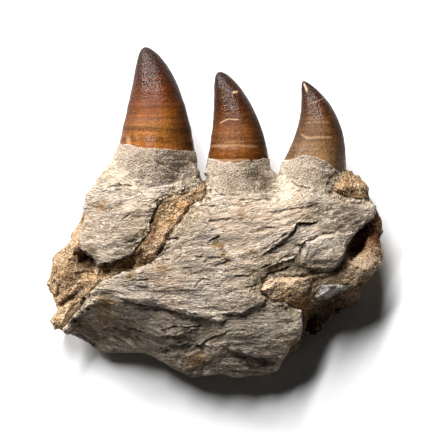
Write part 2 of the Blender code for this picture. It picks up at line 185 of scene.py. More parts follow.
def along_path(xy, path):
    """For each point: distance to the path, which side it is on (+1 left), and how far along, 0 to 1."""
    corners = np.array(path, float)
    start, run = corners[:-1], np.diff(corners, axis=0)
    lengths = np.linalg.norm(run, axis=1)
    away = xy[:, None, :] - start[None, :, :]
    share = np.clip((away * run).sum(-1) / lengths**2, 0, 1)
    gap = away - share[..., None] * run
    distance = np.linalg.norm(gap, axis=2)
    nearest = distance.argmin(axis=1)
    rows = np.arange(len(xy))
    turn = run[nearest, 0] * away[rows, nearest, 1] - run[nearest, 1] * away[rows, nearest, 0]
    before = np.r_[0, np.cumsum(lengths)]
    reached = (before[nearest] + share[rows, nearest] * lengths[nearest]) / before[-1]
    return distance[rows, nearest], np.sign(turn), reached


def blots(points, spots, ragged=0.0, seed=0, flat=1.0):
    """How strongly the nearest of some blots, each (x, y, radius, strength), covers a point."""
    cover = np.zeros(len(points))
    for x, y, radius, strength in spots:
        near = np.exp(-((((points[:, :2] - (x, y)) * (1, flat)) ** 2).sum(1)) / radius**2)
        cover = np.maximum(cover, strength * near)
    if ragged:
        cover = cover * (1 + ragged * layered(points / 3.0, 3, seed))
    return np.clip(cover, 0, 1)


# ---- Meshes ----


def new_piece(name, mesh):
    piece = bpy.data.objects.new(name, mesh)
    bpy.context.scene.collection.objects.link(piece)
    return piece


def made_real(piece):
    """The piece with its modifiers baked into its mesh and removed."""
    bpy.context.view_layer.update()
    graph = bpy.context.evaluated_depsgraph_get()
    mesh = bpy.data.meshes.new_from_object(piece.evaluated_get(graph))
    piece.modifiers.clear()
    piece.data = mesh
    return piece


def modified(piece, kind, **settings):
    """Gives the piece a modifier with those settings."""
    step = piece.modifiers.new(kind.lower(), kind)
    for key, value in settings.items():
        setattr(step, key, value)


def blank(name, meshes, cell, ease, swell=0.0):
    """A closed, fine-grained stone around all of the meshes, its facets eased, ready for carving."""
    shape = bmesh.new()
    for mesh in meshes:
        shape.from_mesh(mesh)
    bmesh.ops.remove_doubles(shape, verts=shape.verts, dist=1e-6)
    mesh = bpy.data.meshes.new(name)
    shape.to_mesh(mesh)
    shape.free()
    piece = new_piece(name, mesh)
    if swell:
        modified(piece, "DISPLACE", strength=swell * MM, mid_level=0)
    modified(piece, "REMESH", mode="VOXEL", voxel_size=cell * MM)
    modified(piece, "SMOOTH", factor=0.5, iterations=ease)
    return made_real(piece)


def read(mesh, what, width, domain="vertices", kind=np.float64):
    values = np.empty(len(getattr(mesh, domain)) * width, kind)
    getattr(mesh, domain).foreach_get(what, values)
    return values.reshape(-1, width)


def read_mark(mesh, name):
    return read(mesh.attributes[name], "value", 1, "data")[:, 0]


def store(mesh, name, values):
    """Keeps a number or a vector for every vertex, for the materials to read."""
    kind, key = ("FLOAT", "value") if values.ndim == 1 else ("FLOAT_VECTOR", "vector")
    layer = mesh.attributes.new(name, kind, "POINT")
    layer.data.foreach_set(key, values.astype(np.float32).ravel())


def boxed(points):
    """Points, in millimetres, kept just inside the solids' box."""
    low, high = (np.array(corner) / MM for corner in cad_box)
    return np.clip(points, low + BOX_GAP, high - BOX_GAP)


def place_points(mesh, points):
    mesh.vertices.foreach_set("co", (points * MM).ravel())


def spread(mesh, values, times):
    """Each vertex's value, averaged again and again with its neighbours'."""
    ends = read(mesh, "vertices", 2, "edges", np.int32)
    count = np.bincount(ends.ravel(), minlength=len(values))
    for _ in range(times):
        around = np.bincount(ends[:, 0], values[ends[:, 1]], len(values))
        around += np.bincount(ends[:, 1], values[ends[:, 0]], len(values))
        values = (values + around / count) / 2
    return values


def beside(points, normals, nodes):
    """How far each point is from some of the solids, at most NEAR, and whether a face of theirs lies
    against it."""
    nearest = np.full(len(points), NEAR)
    touching = np.zeros(len(points), bool)
    for node in nodes:
        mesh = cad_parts[node].data
        tree = BVHTree.FromPolygons([v.co for v in mesh.vertices], [p.vertices for p in mesh.polygons])
        low, high = (np.array(corner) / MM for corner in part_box(node))
        for i in np.flatnonzero(((points > low - NEAR) & (points < high + NEAR)).all(axis=1)):
            _, facing, _, distance = tree.find_nearest(points[i] * MM, NEAR * MM)
            if facing is not None:
                nearest[i] = min(nearest[i], distance / MM)
                against = normals[i] @ np.array(facing) < -0.2
                # the rim at the front can be seen, unless the neighbour lies over it
                rim = normals[i][2] > 0.25 and facing[2] > -0.5
                touching[i] |= distance / MM < TOUCHING and against and not rim
    return nearest, touching


def thin(piece, region, share):
    """Leaves that share of the triangles of part of a mesh."""
    if region.mean() > 0.02:
        group = piece.vertex_groups.new(name="region")
        group.add(np.flatnonzero(region).tolist(), 1.0, "REPLACE")
        modified(piece, "DECIMATE", vertex_group=group.name, ratio=1 - region.mean() * (1 - share))
        made_real(piece)
        piece.vertex_groups.clear()


def carve(piece, relief, neighbours):
    """Cuts the relief into the stone, keeps its marks for the materials, and thins the mesh."""
    mesh = piece.data
    points, normals = read(mesh, "co", 3) / MM, read(mesh, "normal", 3)
    nearest, hidden = beside(points, normals, neighbours)
    depth, marks = relief(points, normals, nearest)
    depth = np.where(hidden, np.minimum(depth, HIDDEN_DEPTH), depth)
    marks["hollow"] = np.clip((depth - spread(mesh, depth, HOLLOW_RINGS)) / FULL_HOLLOW, -1, 1)
    marks["hidden"] = hidden.astype(float)
    rim = (nearest < RIM) & (normals[:, 2] > FACING)
    inward = np.where(rim[:, None], (0, 0, 1), normals)
    carved = boxed(points - inward * depth[:, None])
    carved[:, 2] = np.where(points[:, 2] < UNDERSIDE, REST_HEIGHT, carved[:, 2])
    place_points(mesh, carved)
    for name, values in marks.items():
        store(mesh, name, values)
    thin(piece, hidden, HIDDEN_SHARE)
    back = read(piece.data, "normal", 3)[:, 2] < -FACING
    thin(piece, back & (read_mark(piece.data, "hidden") <= 0.5), BACK_SHARE)
    triangles = sum(len(face.vertices) - 2 for face in piece.data.polygons)
    if triangles > PIECE_TRIANGLES:
        modified(piece, "DECIMATE", ratio=PIECE_TRIANGLES / triangles)
        made_real(piece)
    piece.data.shade_smooth()


# ---- Materials ----

RANGE = ("Value", "From Min", "From Max", "To Min", "To Max")  # the inputs that a row of numbers sets
IN_COLOUR = dict(out="Result_Color", data_type="RGBA")  # what makes a mix one of colours
# How the ochre and rust staining and the painted shade tint the sand, the same for the rock and for its
# loose grains: the other two tints are painted shade on sand that lies in shade
STAIN_AND_SHADE_TINTS = (("ochre", "#ffdc98"), ("umber", "#c2b4a8"), ("rust", "#98603e"), ("manganese", "#3c3b40"))


def linear(colour):
    """An sRGB hex colour as linear RGBA."""
    parts = [int(colour[i:i + 2], 16) / 255 for i in (1, 3, 5)]
    return (*[p / 12.92 if p <= 0.04045 else ((p + 0.055) / 1.055) ** 2.4 for p in parts], 1.0)


def socket_of(sockets, key):
    """The socket with that place in the list, or else that identifier or name."""
    return next((socket for socket in sockets if socket.identifier == key), None) or sockets[key]


def feed(node, inputs):
    """Sets a node's inputs, each to a value, a hex colour or another node's output."""
    for key, value in inputs.items():
        socket = socket_of(node.inputs, key)
        if isinstance(value, bpy.types.NodeSocket):
            node.id_data.links.new(value, socket)
        elif isinstance(value, str) and value.startswith("#"):
            socket.default_value = linear(value)
        else:
            socket.default_value = value


def add(tree, kind, inputs=None, out=0, **settings):
    """Adds a node, a shader node unless its kind says otherwise, with its inputs and settings."""
    node = tree.nodes.new(kind if "Node" in kind else "ShaderNode" + kind)
    for key, value in settings.items():
        setattr(node, key, value)
    feed(node, inputs or {})
    return socket_of(node.outputs, out)


def new_material(name):
    """A material, its shader, and what adds a node to it."""
    material = bpy.data.materials.new(name)
    material.use_nodes = True
    tree = material.node_tree
    return material, tree.nodes["Principled BSDF"], partial(add, tree)


def new_rule(name, **inputs):
    """A tree of Geometry Nodes with those inputs, the inputs' own sockets, and what adds a node to it."""
    tree = bpy.data.node_groups.new(name, "GeometryNodeTree")
    tree.interface.new_socket("shape", in_out="OUTPUT", socket_type="NodeSocketGeometry")
    for key, kind in inputs.items():
        tree.interface.new_socket(key, in_out="INPUT", socket_type="NodeSocket" + kind)
    return tree, tree.nodes.new("NodeGroupInput").outputs, partial(add, tree)


def made_of(tree, shape, material):
    """The tree, with its shape realized and given a material at the end."""
    shape = add(tree, "GeometryNodeRealizeInstances", {"Geometry": shape})
    shape = add(tree, "GeometryNodeSetMaterial", {"Geometry": shape, "Material": material})
    tree.links.new(shape, tree.nodes.new("NodeGroupOutput").inputs[0])
    return tree


def fossil_bone():
    """Permineralised bone, split along its fibres: matt warm grey, chalky cream where fresh, brown
    where iron and soil have got in. Painted highlight makes lit faces and worn ridges paler; painted shade
    darkens the faces turned from the light, and, with soil, the hollows and splits."""
    material, shader, new = new_material("fossil_bone")
    hollow, stain, chalk, sandy, spongy, umber, slate = (
        new("Attribute", attribute_name=mark, out="Fac")
        for mark in ("hollow", "stain", "chalk", "sandy", "spongy", "umber", "slate"))
    fibre = new("Attribute", attribute_name="fibre", out="Vector")
    place = new("TexCoord", out="Object")
    # noise drawn out along the fibres, by its length, width and depth in millimetres
    bundles, threads, layers, splits = (
        new("TexNoise", {
            "Vector": new("Mapping", {"Vector": fibre, "Scale": [1 / size for size in sizes]}),
            "Scale": 1.0, "Detail": detail, "Roughness": roughness})
        for sizes, detail, roughness in (
            ((9, 1.8, 3), 4.0, 0.65),  # bundles of fibres
            ((2.6, 0.55, 1.5), 3.0, 0.7),  # single fibres
            ((6, 2.2, 4), 3.0, 0.55),  # thin layers
            ((6, 1.5, 2.5), 1.0, 0.5)))  # hairline splits
    # cells with straight edges: flakes 7 mm by 2 mm, and thinner scales 3.2 mm by 0.9 mm
    flakes, scales = (
        new("SeparateColor", {0: new("TexVoronoi", {
            "Vector": new("Mapping", {"Vector": fibre, "Scale": [1 / size for size in sizes]}),
            "Scale": 1.0}, out="Color")})
        for sizes in ((7, 2, 4), (3.2, 0.9, 2)))
    # grains of sand that cling to it, 0.8 mm across, cloudy patches 18 mm across, grit 0.7 mm across
    grains = new("TexVoronoi", {"Vector": place, "Scale": 1000 / 0.8}, out="Color")
    grains = new("SeparateColor", {0: grains})
    clouds = new("TexNoise", {"Vector": place, "Scale": 1000 / 18, "Detail": 4.0, "Roughness": 0.6})
    grit = new("TexNoise", {"Vector": place, "Scale": 1000 / 0.7, "Detail": 2.0})
    fleck = new("Mix", {"Factor_Float": spongy, "A_Float": threads, "B_Float": grit},
                out="Result_Float", data_type="FLOAT")
    layers = new("Math", {0: layers, 1: 0.045}, operation="SNAP")  # broken back in steps
    fibrous = new("Math", {0: 1.0, 1: spongy}, operation="SUBTRACT")
    off_split = new("Math", {0: splits, 1: 0.5}, operation="SUBTRACT")
    off_split = new("Math", {0: off_split}, operation="ABSOLUTE")
    iron = new("Math", {0: bundles, 1: 1.5, 2: stain}, operation="MULTIPLY_ADD")
    split, split_in, streak, warm, cool, iron, darker_in_hollows, worn_and_lit, tone, taken = (
        new("MapRange", dict(zip(RANGE, row))) for row in (
            (off_split, 0.035, 0.0),
            (bundles, 0.46, 0.58),
            (bundles, 0.38, 0.62),
            (clouds, 0.5, 0.68, 0.0, 0.8),
            (clouds, 0.48, 0.34, 0.0, 0.5),
            (iron, 0.95, 1.75),
            # hollows darker, partly soil, partly painted shade; next row, ridges paler, partly worn, partly
            # painted highlight
            (hollow, 0.15, 1.0, 0.0, 0.8),
            (hollow, -0.15, -0.8, 0.0, 0.55),
            (fleck, 0.3, 0.7, 0.37, 1.09),
            # the painted shade and its darker staining fall much more on some bundles of fibres than on
            # others
            (bundles, 0.38, 0.62, 2.1, 0.15)))
    for part in (split_in, fibrous):
        split = new("Math", {0: split, 1: part}, operation="MULTIPLY")
    darker_in_hollows = new("Math", {0: darker_in_hollows, 1: split}, operation="MAXIMUM")
    roots = new("Math", {0: spongy, 1: 0.8}, operation="MULTIPLY")
    umber = new("Math", {0: umber, 1: taken}, operation="MULTIPLY", use_clamp=True)
    sand, colour = (
        new("Mix", {"Factor_Float": share, "A_Color": dark, "B_Color": pale}, **IN_COLOUR)
        for share, dark, pale in ((grains, "#877158", "#d8c3a4"), (streak, "#b09c86", "#e2cfb9")))
    # tints in order: warm, cool, chalky cream that is also painted highlight on lit faces, roots, clinging
    # sand, grey-brown painted shade with some darker staining, splinter grey, iron, hollows darker with
    # soil and painted shade, ridges paler with wear and painted highlight
    for share, tint in ((warm, "#cfb094"), (cool, "#b3aaa2"), (chalk, "#dccdb6"), (roots, "#aa9783"),
                        (sandy, sand), (umber, "#6b5b48"), (slate, "#d2cbc2"), (iron, "#8d6b3c"),
                        (darker_in_hollows, "#6a5139"), (worn_and_lit, "#efe5d5")):
        colour = new("Mix", {"Factor_Float": share, "A_Color": colour, "B_Color": tint}, **IN_COLOUR)
    colour = new("VectorMath", {0: colour, "Scale": tone}, operation="SCALE")
    # how far each of these stands out, in millimetres
    rise = 0.0
    for height, reach in ((layers, 0.5), (flakes, 0.26), (scales, 0.19)):
        rise = new("Math", {0: height, 1: reach, 2: rise}, operation="MULTIPLY_ADD")
    rise = new("Math", {0: rise, 1: fibrous}, operation="MULTIPLY")
    for height, reach in ((fleck, 0.62), (grit, 0.9), (split, -0.6)):
        rise = new("Math", {0: height, 1: reach, 2: rise}, operation="MULTIPLY_ADD")
    bump = new("Bump", {"Strength": 1.0, "Distance": MM, "Height": rise})
    feed(shader, {"Base Color": colour, "Normal": bump, "Roughness": 0.85, "Specular IOR Level": 0.3})
    return material


def phosphate_sand():
    """Weakly cemented phosphate sand: tan grains with dark and white specks, matt, rusty in places."""
    material, shader, new = new_material("phosphate_sand")
    hollow, pale = (new("Attribute", attribute_name=mark, out="Fac") for mark in ("hollow", "pale"))
    place = new("TexCoord", out="Object")
    # grains 0.8 mm across, domed, each with its own tone, and cloudy patches 14 mm across
    grains, domes = (new("TexVoronoi", {"Vector": place, "Scale": 1000 / 0.8}, out=out)
                     for out in ("Color", "Distance"))
    clouds = new("TexNoise", {"Vector": place, "Scale": 1000 / 14, "Detail": 5.0, "Roughness": 0.65})
    colour = new("ValToRGB", {"Fac": new("SeparateColor", {0: grains})})
    stops = colour.node.color_ramp.elements
    stops[0].color = linear("#3a2d25")
    stops[1].color, stops[1].position = linear("#c5b7a1"), 0.97
    for position, tone in ((0.15, "#6f5841"), (0.4, "#9a7d5e"), (0.8, "#ad9372")):
        stops.new(position).color = linear(tone)
    # warm patches, and the sand darker in its hollows, less where it is pale
    warm, darker_in_hollows = (new("MapRange", dict(zip(RANGE, row)))
                  for row in ((clouds, 0.4, 0.62, 0.0, 0.5), (hollow, 0.0, 0.9, 0.0, 0.75)))
    clean = new("Math", {0: pale, 1: -0.7, 2: 1.0}, operation="MULTIPLY_ADD")
    darker_in_hollows = new("Math", {0: darker_in_hollows, 1: clean}, operation="MULTIPLY")
    # ochre and rust staining, and painted shade on sand that lies in shade; the pale tint below is partly
    # painted light
    tints = [("MULTIPLY", new("Attribute", attribute_name=stain, out="Fac"), tint)
              for stain, tint in STAIN_AND_SHADE_TINTS]
    for blend, share, tint in (("MIX", warm, "#9d7b54"), ("MIX", pale, "#cdb498"), *tints,
                               ("MULTIPLY", darker_in_hollows, "#6f6453")):
        colour = new("Mix", {"Factor_Float": share, "A_Color": colour, "B_Color": tint},
                     blend_type=blend, **IN_COLOUR)
    height = new("Math", {0: 1.0, 1: domes}, operation="SUBTRACT")
    bump = new("Bump", {"Strength": 1.0, "Distance": 0.75 * MM, "Height": height})
    feed(shader, {"Base Color": colour, "Normal": bump, "Roughness": 0.95, "Specular IOR Level": 0.2})
    return material


def quartz_grains():
    """Loose grains of the same sand, quartz and phosphate: each grain one tone, from dark brown to cream,
    tinted like the sand under it, its painted light and painted shade included.
    """
    material, shader, new = new_material("quartz_grains")
    colour = new("ValToRGB", {"Fac": new("Attribute", attribute_name="tone", out="Fac")})
    stops = colour.node.color_ramp.elements
    stops[0].color = linear("#433323")
    stops[1].color = linear("#bfae93")
    for position, shade in ((0.25, "#755c40"), (0.6, "#967a57"), (0.85, "#a98f6e")):
        stops.new(position).color = linear(shade)
    for stain, tint in (("pale", "#c6ad8e"), *STAIN_AND_SHADE_TINTS):
        share = new("Attribute", attribute_name=stain, out="Fac")
        colour = new("Mix", {"Factor_Float": share, "A_Color": colour, "B_Color": tint},
                     blend_type="MIX" if stain == "pale" else "MULTIPLY", **IN_COLOUR)
    feed(shader, {"Base Color": colour, "Roughness": 0.8, "Specular IOR Level": 0.3})
    return material


def fossil_enamel(name, tones):
    """Mineral-stained tooth enamel, weathered to a satin: growth bands round it, fine wrinkles, darker
    at the tip, painted shade down both sides by the cutting edges, and pale where it is chipped. Tones run
    from tip to margin."""
    material, shader, new = new_material(name)
    height, edge, chipped = (new("Attribute", attribute_name=mark, out="Fac")
                             for mark in ("height", "edge", "chipped"))
    place = new("TexCoord", out="Object")
    bands, streaks, clouds, grain, dimples = (
        new("TexNoise", {
            "Vector": new("Mapping", {"Vector": place, "Scale": [1000 / size for size in sizes]}),
            "Scale": 1.0, "Detail": detail, "Roughness": roughness})
        for sizes, detail, roughness in (
            ((40, 2.4, 40), 4.0, 0.7),  # growth bands about 2 mm apart, nearly level round the crown
            ((1.6, 16, 1.6), 2.0, 0.5),  # streaks that run from tip to margin, 1.6 mm wide
            ((10, 10, 10), 3.0, 0.5),  # cloudy patches
            ((1.1, 1.1, 1.1), 3.0, 0.75),  # wrinkles, coarser than in life, so that they show
            ((1, 1, 1), 1.0, 0.5)))  # dimples that break the shine into specks
    sway = new("Math", {0: clouds, 1: 0.3, 2: -0.15}, operation="MULTIPLY_ADD")
    shifted = new("Math", {0: height, 1: sway}, operation="ADD")
    colour = new("ValToRGB", {"Fac": shifted})
    stops = colour.node.color_ramp.elements
    stops[0].color, stops[0].position = linear(tones[0]), 0.06
    stops[1].color, stops[1].position = linear(tones[-1]), 0.96
    for step, tone in enumerate(tones[1:-1], 1):
        stops.new(0.06 + 0.9 * step / (len(tones) - 1)).color = linear(tone)
    # glossy towards the tip and again at the margin, rubbed duller between
    off_middle = new("Math", {0: height, 1: 0.66}, operation="SUBTRACT")
    off_middle = new("Math", {0: off_middle}, operation="ABSOLUTE")
    banding, low, down, mottle, upper, worn = (
        new("MapRange", dict(zip(RANGE, row))) for row in (
            (bands, 0.3, 0.7, 0.45, 1.6),
            (height, 0.15, 0.6, 0.25, 1.0),
            (streaks, 0.3, 0.7, 0.85, 1.15),
            (grain, 0.3, 0.7, 0.3, 0.86),
            (height, 0.3, 0.8, 0.32, 0.16),
            (off_middle, 0.1, 0.24, 0.3, 0.06)))
    tone = new("Mix", {"Factor_Float": low, "A_Float": 1.0, "B_Float": banding},
               out="Result_Float", data_type="FLOAT")
    for part in (down, mottle):
        tone = new("Math", {0: tone, 1: part}, operation="MULTIPLY")
    colour = new("VectorMath", {0: colour, "Scale": tone}, operation="SCALE")
    # the dark tint is painted shade down the sides of the crown, darkest on the right, away from the lamps;
    # the pale one is chips
    for share, tint in ((edge, "#1f0f08"), (chipped, "#d9b48c")):
        colour = new("Mix", {"Factor_Float": share, "A_Color": colour, "B_Color": tint}, **IN_COLOUR)
    rough = new("Math", {0: dimples, 1: upper}, operation="MULTIPLY")
    bump = new("Bump", {"Strength": 1.0, "Distance": MM, "Height": rough})
    gloss = new("Math", {0: grain, 1: 0.36, 2: worn}, operation="MULTIPLY_ADD")
    feed(shader, {"Base Color": colour, "Normal": bump, "Roughness": gloss, "IOR": 1.6,
                  "Specular IOR Level": 0.085})
    return material


# ---- Crowns ----

# How each value of the rule follows from the ones before it: its name, an operation and the terms.
# "around" and "row" are a point's place on the grid, and the sizes are the ones of TEETH.
CROWN_RULE = (
    ("turn", "MULTIPLY", "around", 2 * math.pi),
    ("row", "ADD", "row", 0.5),
    # all rings but the last step down, closer together at the tip, and the last closes the foot
    ("down", "MULTIPLY", "row", CROWN_RINGS / (CROWN_RINGS - 1)),
    ("down", "MINIMUM", "down", 1.0),
    ("down", "POWER", "down", 1.5),
    ("share", "MULTIPLY", "down", CROWN_FOOT),
    ("open", "LESS_THAN", "row", 1 - 0.5 / CROWN_RINGS),
    ("rest", "SUBTRACT", 1.0, "share"),
    ("above", "MAXIMUM", "rest", 0.0),
    # out from the middle line, with a keel at each side
    ("half", "POWER", "share", "swell"),
    ("half", "MULTIPLY", "width", "half"),
    ("half", "MULTIPLY", "half", 0.5),
    ("half", "MULTIPLY", "half", "open"),
    ("across", "COSINE", "turn"),
    ("deep", "SINE", "turn"),
    ("keel", "ABSOLUTE", "across"),
    ("keel", "POWER", "keel", KEEL_SHARPNESS),
    ("keel", "MULTIPLY_ADD", "keel", KEEL, 1.0),
    ("out", "MULTIPLY", "half", "keel"),
    ("out", "MULTIPLY", "out", "across"),
    # the middle line, which leans and hooks
    ("hooked", "POWER", "above", "bend"),
    ("hooked", "MULTIPLY", "hooked", "hook"),
    ("x", "MULTIPLY_ADD", "lean", "rest", "base_x"),
    ("x", "SUBTRACT", "x", "hooked"),
    ("x", "ADD", "x", "out"),
    # up the crown, with the slant of the margin dying away
    ("y", "MULTIPLY", "rest", 1 - BLUNT_TIP),
    ("y", "MULTIPLY_ADD", "height", "y", "base_y"),
    ("tilt", "MULTIPLY_ADD", "above", -1 / SLANT_FADE, 1.0),
    ("tilt", "MAXIMUM", "tilt", 0.0),
    ("tilt", "MULTIPLY", "tilt", "slant"),
    ("y", "MULTIPLY_ADD", "tilt", "out", "y"),
    # front to back, with the tip curling back
    ("z", "MULTIPLY", "above", "above"),
    ("z", "MULTIPLY_ADD", "z", -TIP_CURL, AXIS_HEIGHT),
    ("thick", "MULTIPLY", "half", "deep"),
    ("z", "MULTIPLY_ADD", "thick", TOOTH_DEPTH, "z"),
    # the face is turned a little to the left, less and less towards the root
    ("turned", "MULTIPLY_ADD", "above", 3.0, -0.45),
    ("turned", "MAXIMUM", "turned", 0.0),
    ("turned", "MINIMUM", "turned", 1.0),
    ("turned", "MULTIPLY", "turned", FACE_TURN),
    ("z", "MULTIPLY_ADD", "turned", "out", "z"),
)


def crown_tree():
    """Geometry Nodes: the rule that all the crowns follow, on a grid of rings and sides."""
    sizes = [*TEETH["large_tooth"], "seed"]
    tree, given, new = new_rule("crown", **dict.fromkeys(sizes, "Float"), enamel="Material")
    shape = new("GeometryNodeMeshGrid", {"Size X": 1.0, "Size Y": 1.0, "Vertices X": CROWN_SIDES + 1,
                                         "Vertices Y": CROWN_RINGS + 1})
    spot = new("SeparateXYZ", {0: new("GeometryNodeInputPosition")}).node.outputs
    known = {"around": spot[0], "row": spot[1], **{size: given[size] for size in sizes}}
    for name, operation, *terms in CROWN_RULE:
        inputs = {i: known[term] if isinstance(term, str) else term for i, term in enumerate(terms)}
        known[name] = new("Math", inputs, operation=operation)
    place = new("CombineXYZ", {0: known["x"], 1: known["y"], 2: known["z"]})
    place = new("VectorMath", {0: place, "Scale": MM}, operation="SCALE")
    # both marks are kept before the grid is bent, while its own place still gives them
    for mark, value in (("height", known["share"]), ("side", known["across"])):
        shape = new("GeometryNodeStoreNamedAttribute",
                    {"Geometry": shape, "Name": mark, "Value": value}, data_type="FLOAT")
    shape = new("GeometryNodeSetPosition", {"Geometry": shape, "Position": place})
    shape = new("GeometryNodeMergeByDistance", {"Geometry": shape, "Distance": 0.01 * MM})
    # growth swellings 5 mm apart round the lower crown, and wrinkles 1.6 mm across
    spot = new("VectorMath", {0: new("GeometryNodeInputPosition"), "Scale": 1 / MM}, operation="SCALE")
    ring_place = new("VectorMath", {0: spot, 1: (1 / 60, 1 / 5, 1 / 60)}, operation="MULTIPLY")
    rings = new("TexNoise", {"W": given["seed"], "Vector": ring_place, "Scale": 1.0, "Detail": 1.0},
                noise_dimensions="4D")
    wrinkles = new("TexNoise", {"Vector": spot, "Scale": 1 / 1.6, "Detail": 2.0, "Roughness": 0.6})
    down = new("GeometryNodeInputNamedAttribute", {"Name": "height"}, data_type="FLOAT")
    lower = new("MapRange", dict(zip(RANGE, (down, 0.2, 0.7, 0.25, 1.0))))
    rings = new("Math", {0: rings, 1: SWELLINGS, 2: -SWELLINGS / 2}, operation="MULTIPLY_ADD")
    rings = new("Math", {0: rings, 1: lower}, operation="MULTIPLY")
    sunk = new("Math", {0: wrinkles, 1: WRINKLES, 2: rings}, operation="MULTIPLY_ADD")
    sunk = new("Math", {0: sunk, 1: -0.05}, operation="ADD")
    sunk = new("Math", {0: sunk, 1: -MM}, operation="MULTIPLY")
    inward = new("VectorMath", {0: new("GeometryNodeInputNormal"), "Scale": sunk}, operation="SCALE")
    shape = new("GeometryNodeSetPosition", {"Geometry": shape, "Offset": inward})
    shape = new("GeometryNodeSetShadeSmooth", {"Geometry": shape})
    return made_of(tree, shape, given["enamel"])


def grown(name, tree, **inputs):
    """A piece that a node tree makes, with the tree's named inputs set, baked to a plain mesh."""
    piece = new_piece(name, bpy.data.meshes.new(name))
    step = piece.modifiers.new("grow", "NODES")
    step.node_group = tree
    sockets = {item.name: item.identifier for item in tree.interface.items_tree if item.in_out == "INPUT"}
    for key, value in inputs.items():
        step[sockets[key]] = value
    made_real(piece)
    place_points(piece.data, boxed(read(piece.data, "co", 3) / MM))
    return piece


MARKS_BEHIND = 6  # how far behind the axis the marks on the front still show
# Chips and cracks on the front of the enamel: path, width, how pale
CHIPS = {
    "large_tooth": [([(-41.3, 35.5), (-40.8, 31), (-40.5, 28)], 1.1, 0.22)],
    "middle_tooth": [
        ([(2.6, 42.2), (4.5, 43.6), (7, 44.3), (11.6, 44)], 0.25, 0.42),
        ([(8.8, 57.2), (10.8, 57.6)], 0.6, 0.5),
        ([(-2, 31.4), (4, 31.8), (12, 31.6), (20, 31)], 0.7, 0.14),
        ([(5, 33.2), (14, 33.4)], 0.3, 0.15),
        ([(-1, 24.6), (8, 24.4), (16, 24.8)], 0.6, 0.25),
    ],
    "small_tooth": [
        ([(43.2, 61.6), (43.9, 59.6), (44.3, 58)], 0.45, 0.55),
        ([(44.4, 51.6), (47.5, 52.4), (51, 53.8), (53.5, 55.6)], 0.25, 0.2),
        ([(41.5, 37), (44, 35.2), (50, 35.6), (56, 35.4)], 0.5, 0.2),
        ([(43, 42.6), (50, 42.9), (55, 42.5)], 0.35, 0.1),
    ],
}
ENAMEL_TONES = {  # from tip to margin
    "large_tooth": ("#3a2a21", "#46281a", "#66300f", "#7f430f", "#905a24", "#a0602a"),
    "middle_tooth": ("#332119", "#44240f", "#52290e", "#6c3a0f", "#855125", "#784318"),
    "small_tooth": ("#33190a", "#472713", "#5a3617", "#6f4823", "#84603c", "#8e6b48"),
}


def crown_piece(node, tree, seed):
    enamel = fossil_enamel("enamel_of_" + node, ENAMEL_TONES[node])
    piece = grown(node + "_crown", tree, seed=float(seed), enamel=enamel, **TEETH[node])
    mesh = piece.data
    points = read(mesh, "co", 3) / MM
    front = points[:, 2] > AXIS_HEIGHT - MARKS_BEHIND
    chipped = np.zeros(len(points))
    xy = points[:, :2] + 0.3 * wandering(points, 1.5, 3)
    for path, width, pale in CHIPS[node]:
        distance, _, along = along_path(xy, path)
        mark = np.exp(-((distance / width) ** 4)) * smooth(6 * along * (1 - along) + 0.5)
        chipped = np.maximum(chipped, pale * mark * front)
    store(mesh, "chipped", chipped)
    # painted shade down both sides of the crown, by the cutting edges, the right one broader and darker,
    # away from the lamps
    side = read_mark(mesh, "side")
    shade = np.where(side > 0, smooth((side - 0.12) / 0.85) * 0.78, smooth((-side - 0.45) / 0.5) * 0.5)
    store(mesh, "edge", shade * (0.95 + 0.25 * noise(points / (9, 5, 9), 7)))
    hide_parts(node)
    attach(piece, "root")


# ---- Bone ----

# The bony root under each crown: y, middle x, half width, half depth, from the crown down into the jaw
ROOTS = {
    "large_tooth": [(29.2, -27.5, 18.0, 14.4), (24.0, -28.6, 19.4, 15.6), (16.0, -29.5, 20.6, 16.6)],
    "middle_tooth": [(23.0, 11.4, 14.2, 12.2), (18.0, 11.8, 15.8, 14.2), (11.0, 11.8, 17.0, 16.0)],
    "small_tooth": [(20.6, 48.1, 14.6, 12.4), (15.5, 47.2, 15.4, 14.0), (9.0, 45.8, 16.0, 15.4)],
}
# How far the root's bone laps up over the foot of the enamel: x, rise
MARGINS = {
    "large_tooth": [(-46, 1.1), (-41, 1.1), (-38, 0.2), (-24, 0.3), (-16, 0.9), (-11, 1.3), (-9, 1.5)],
    "middle_tooth": [(-3, 1.8), (1, 1.2), (5, 0.3), (9, 0.0), (12, 0.2), (16, 1.0), (22, 2.2), (26, 2.7)],
    "small_tooth": [(34, 0.2), (37, 1.6), (41, 4.5), (44, 4.9), (48, 4.6), (53, 3.6), (58, 1.2), (62, 0.5)],
}
ROOT_OF = {"jaw_fragment": ["large_tooth"], "jaw_bone": ["middle_tooth", "small_tooth"],
           "bone_splinter": []}
CUFF_SIDES = 96  # the cuff is the part of the root that laps up over the crown
CUFF_ROWS = 14
CUFF_PROUD = 0.28  # how far the root's bone stands out over the enamel
CUFF_DEPTH = 6  # how far below the crown's foot the cuff begins, inside the root
SQUARE_EDGE = 0.6  # how far the rounded edges of the solids are filled out
WANDER = 0.6  # how far the broken edges wander from their paths
WANDER_SIZE = 2.5
SLOPE_WIDTH = 3.0  # of the solids' ledges
CLIFF_WIDTH = 0.5
CLIFF_SHARE = 0.6  # how much of a ledge's slope is made a cliff
FOOT_DEPTH = 0.35  # of the groove along the foot of a broken edge
FILL_WIDTH = 1.6
CLING_REACH = 6.9  # how far from the matrix the clinging sand evens out the step down to it
CLING_STEP = 1.3  # and how deep it does
BONE_PROUD, BONE_DEEP = 1.5, 4.5  # the most that the bone stands out and is cut in
# Plates, thin layers of bone broken back in steps: length, width, height of a step, steps, seed
LARGE_PLATES = (16, 5.5, 0.09, 6, 21)
MIDDLE_PLATES = (8, 2.4, 0.06, 6, 25)
SMALL_PLATES = (4.5, 1.2, 0.075, 5, 29)

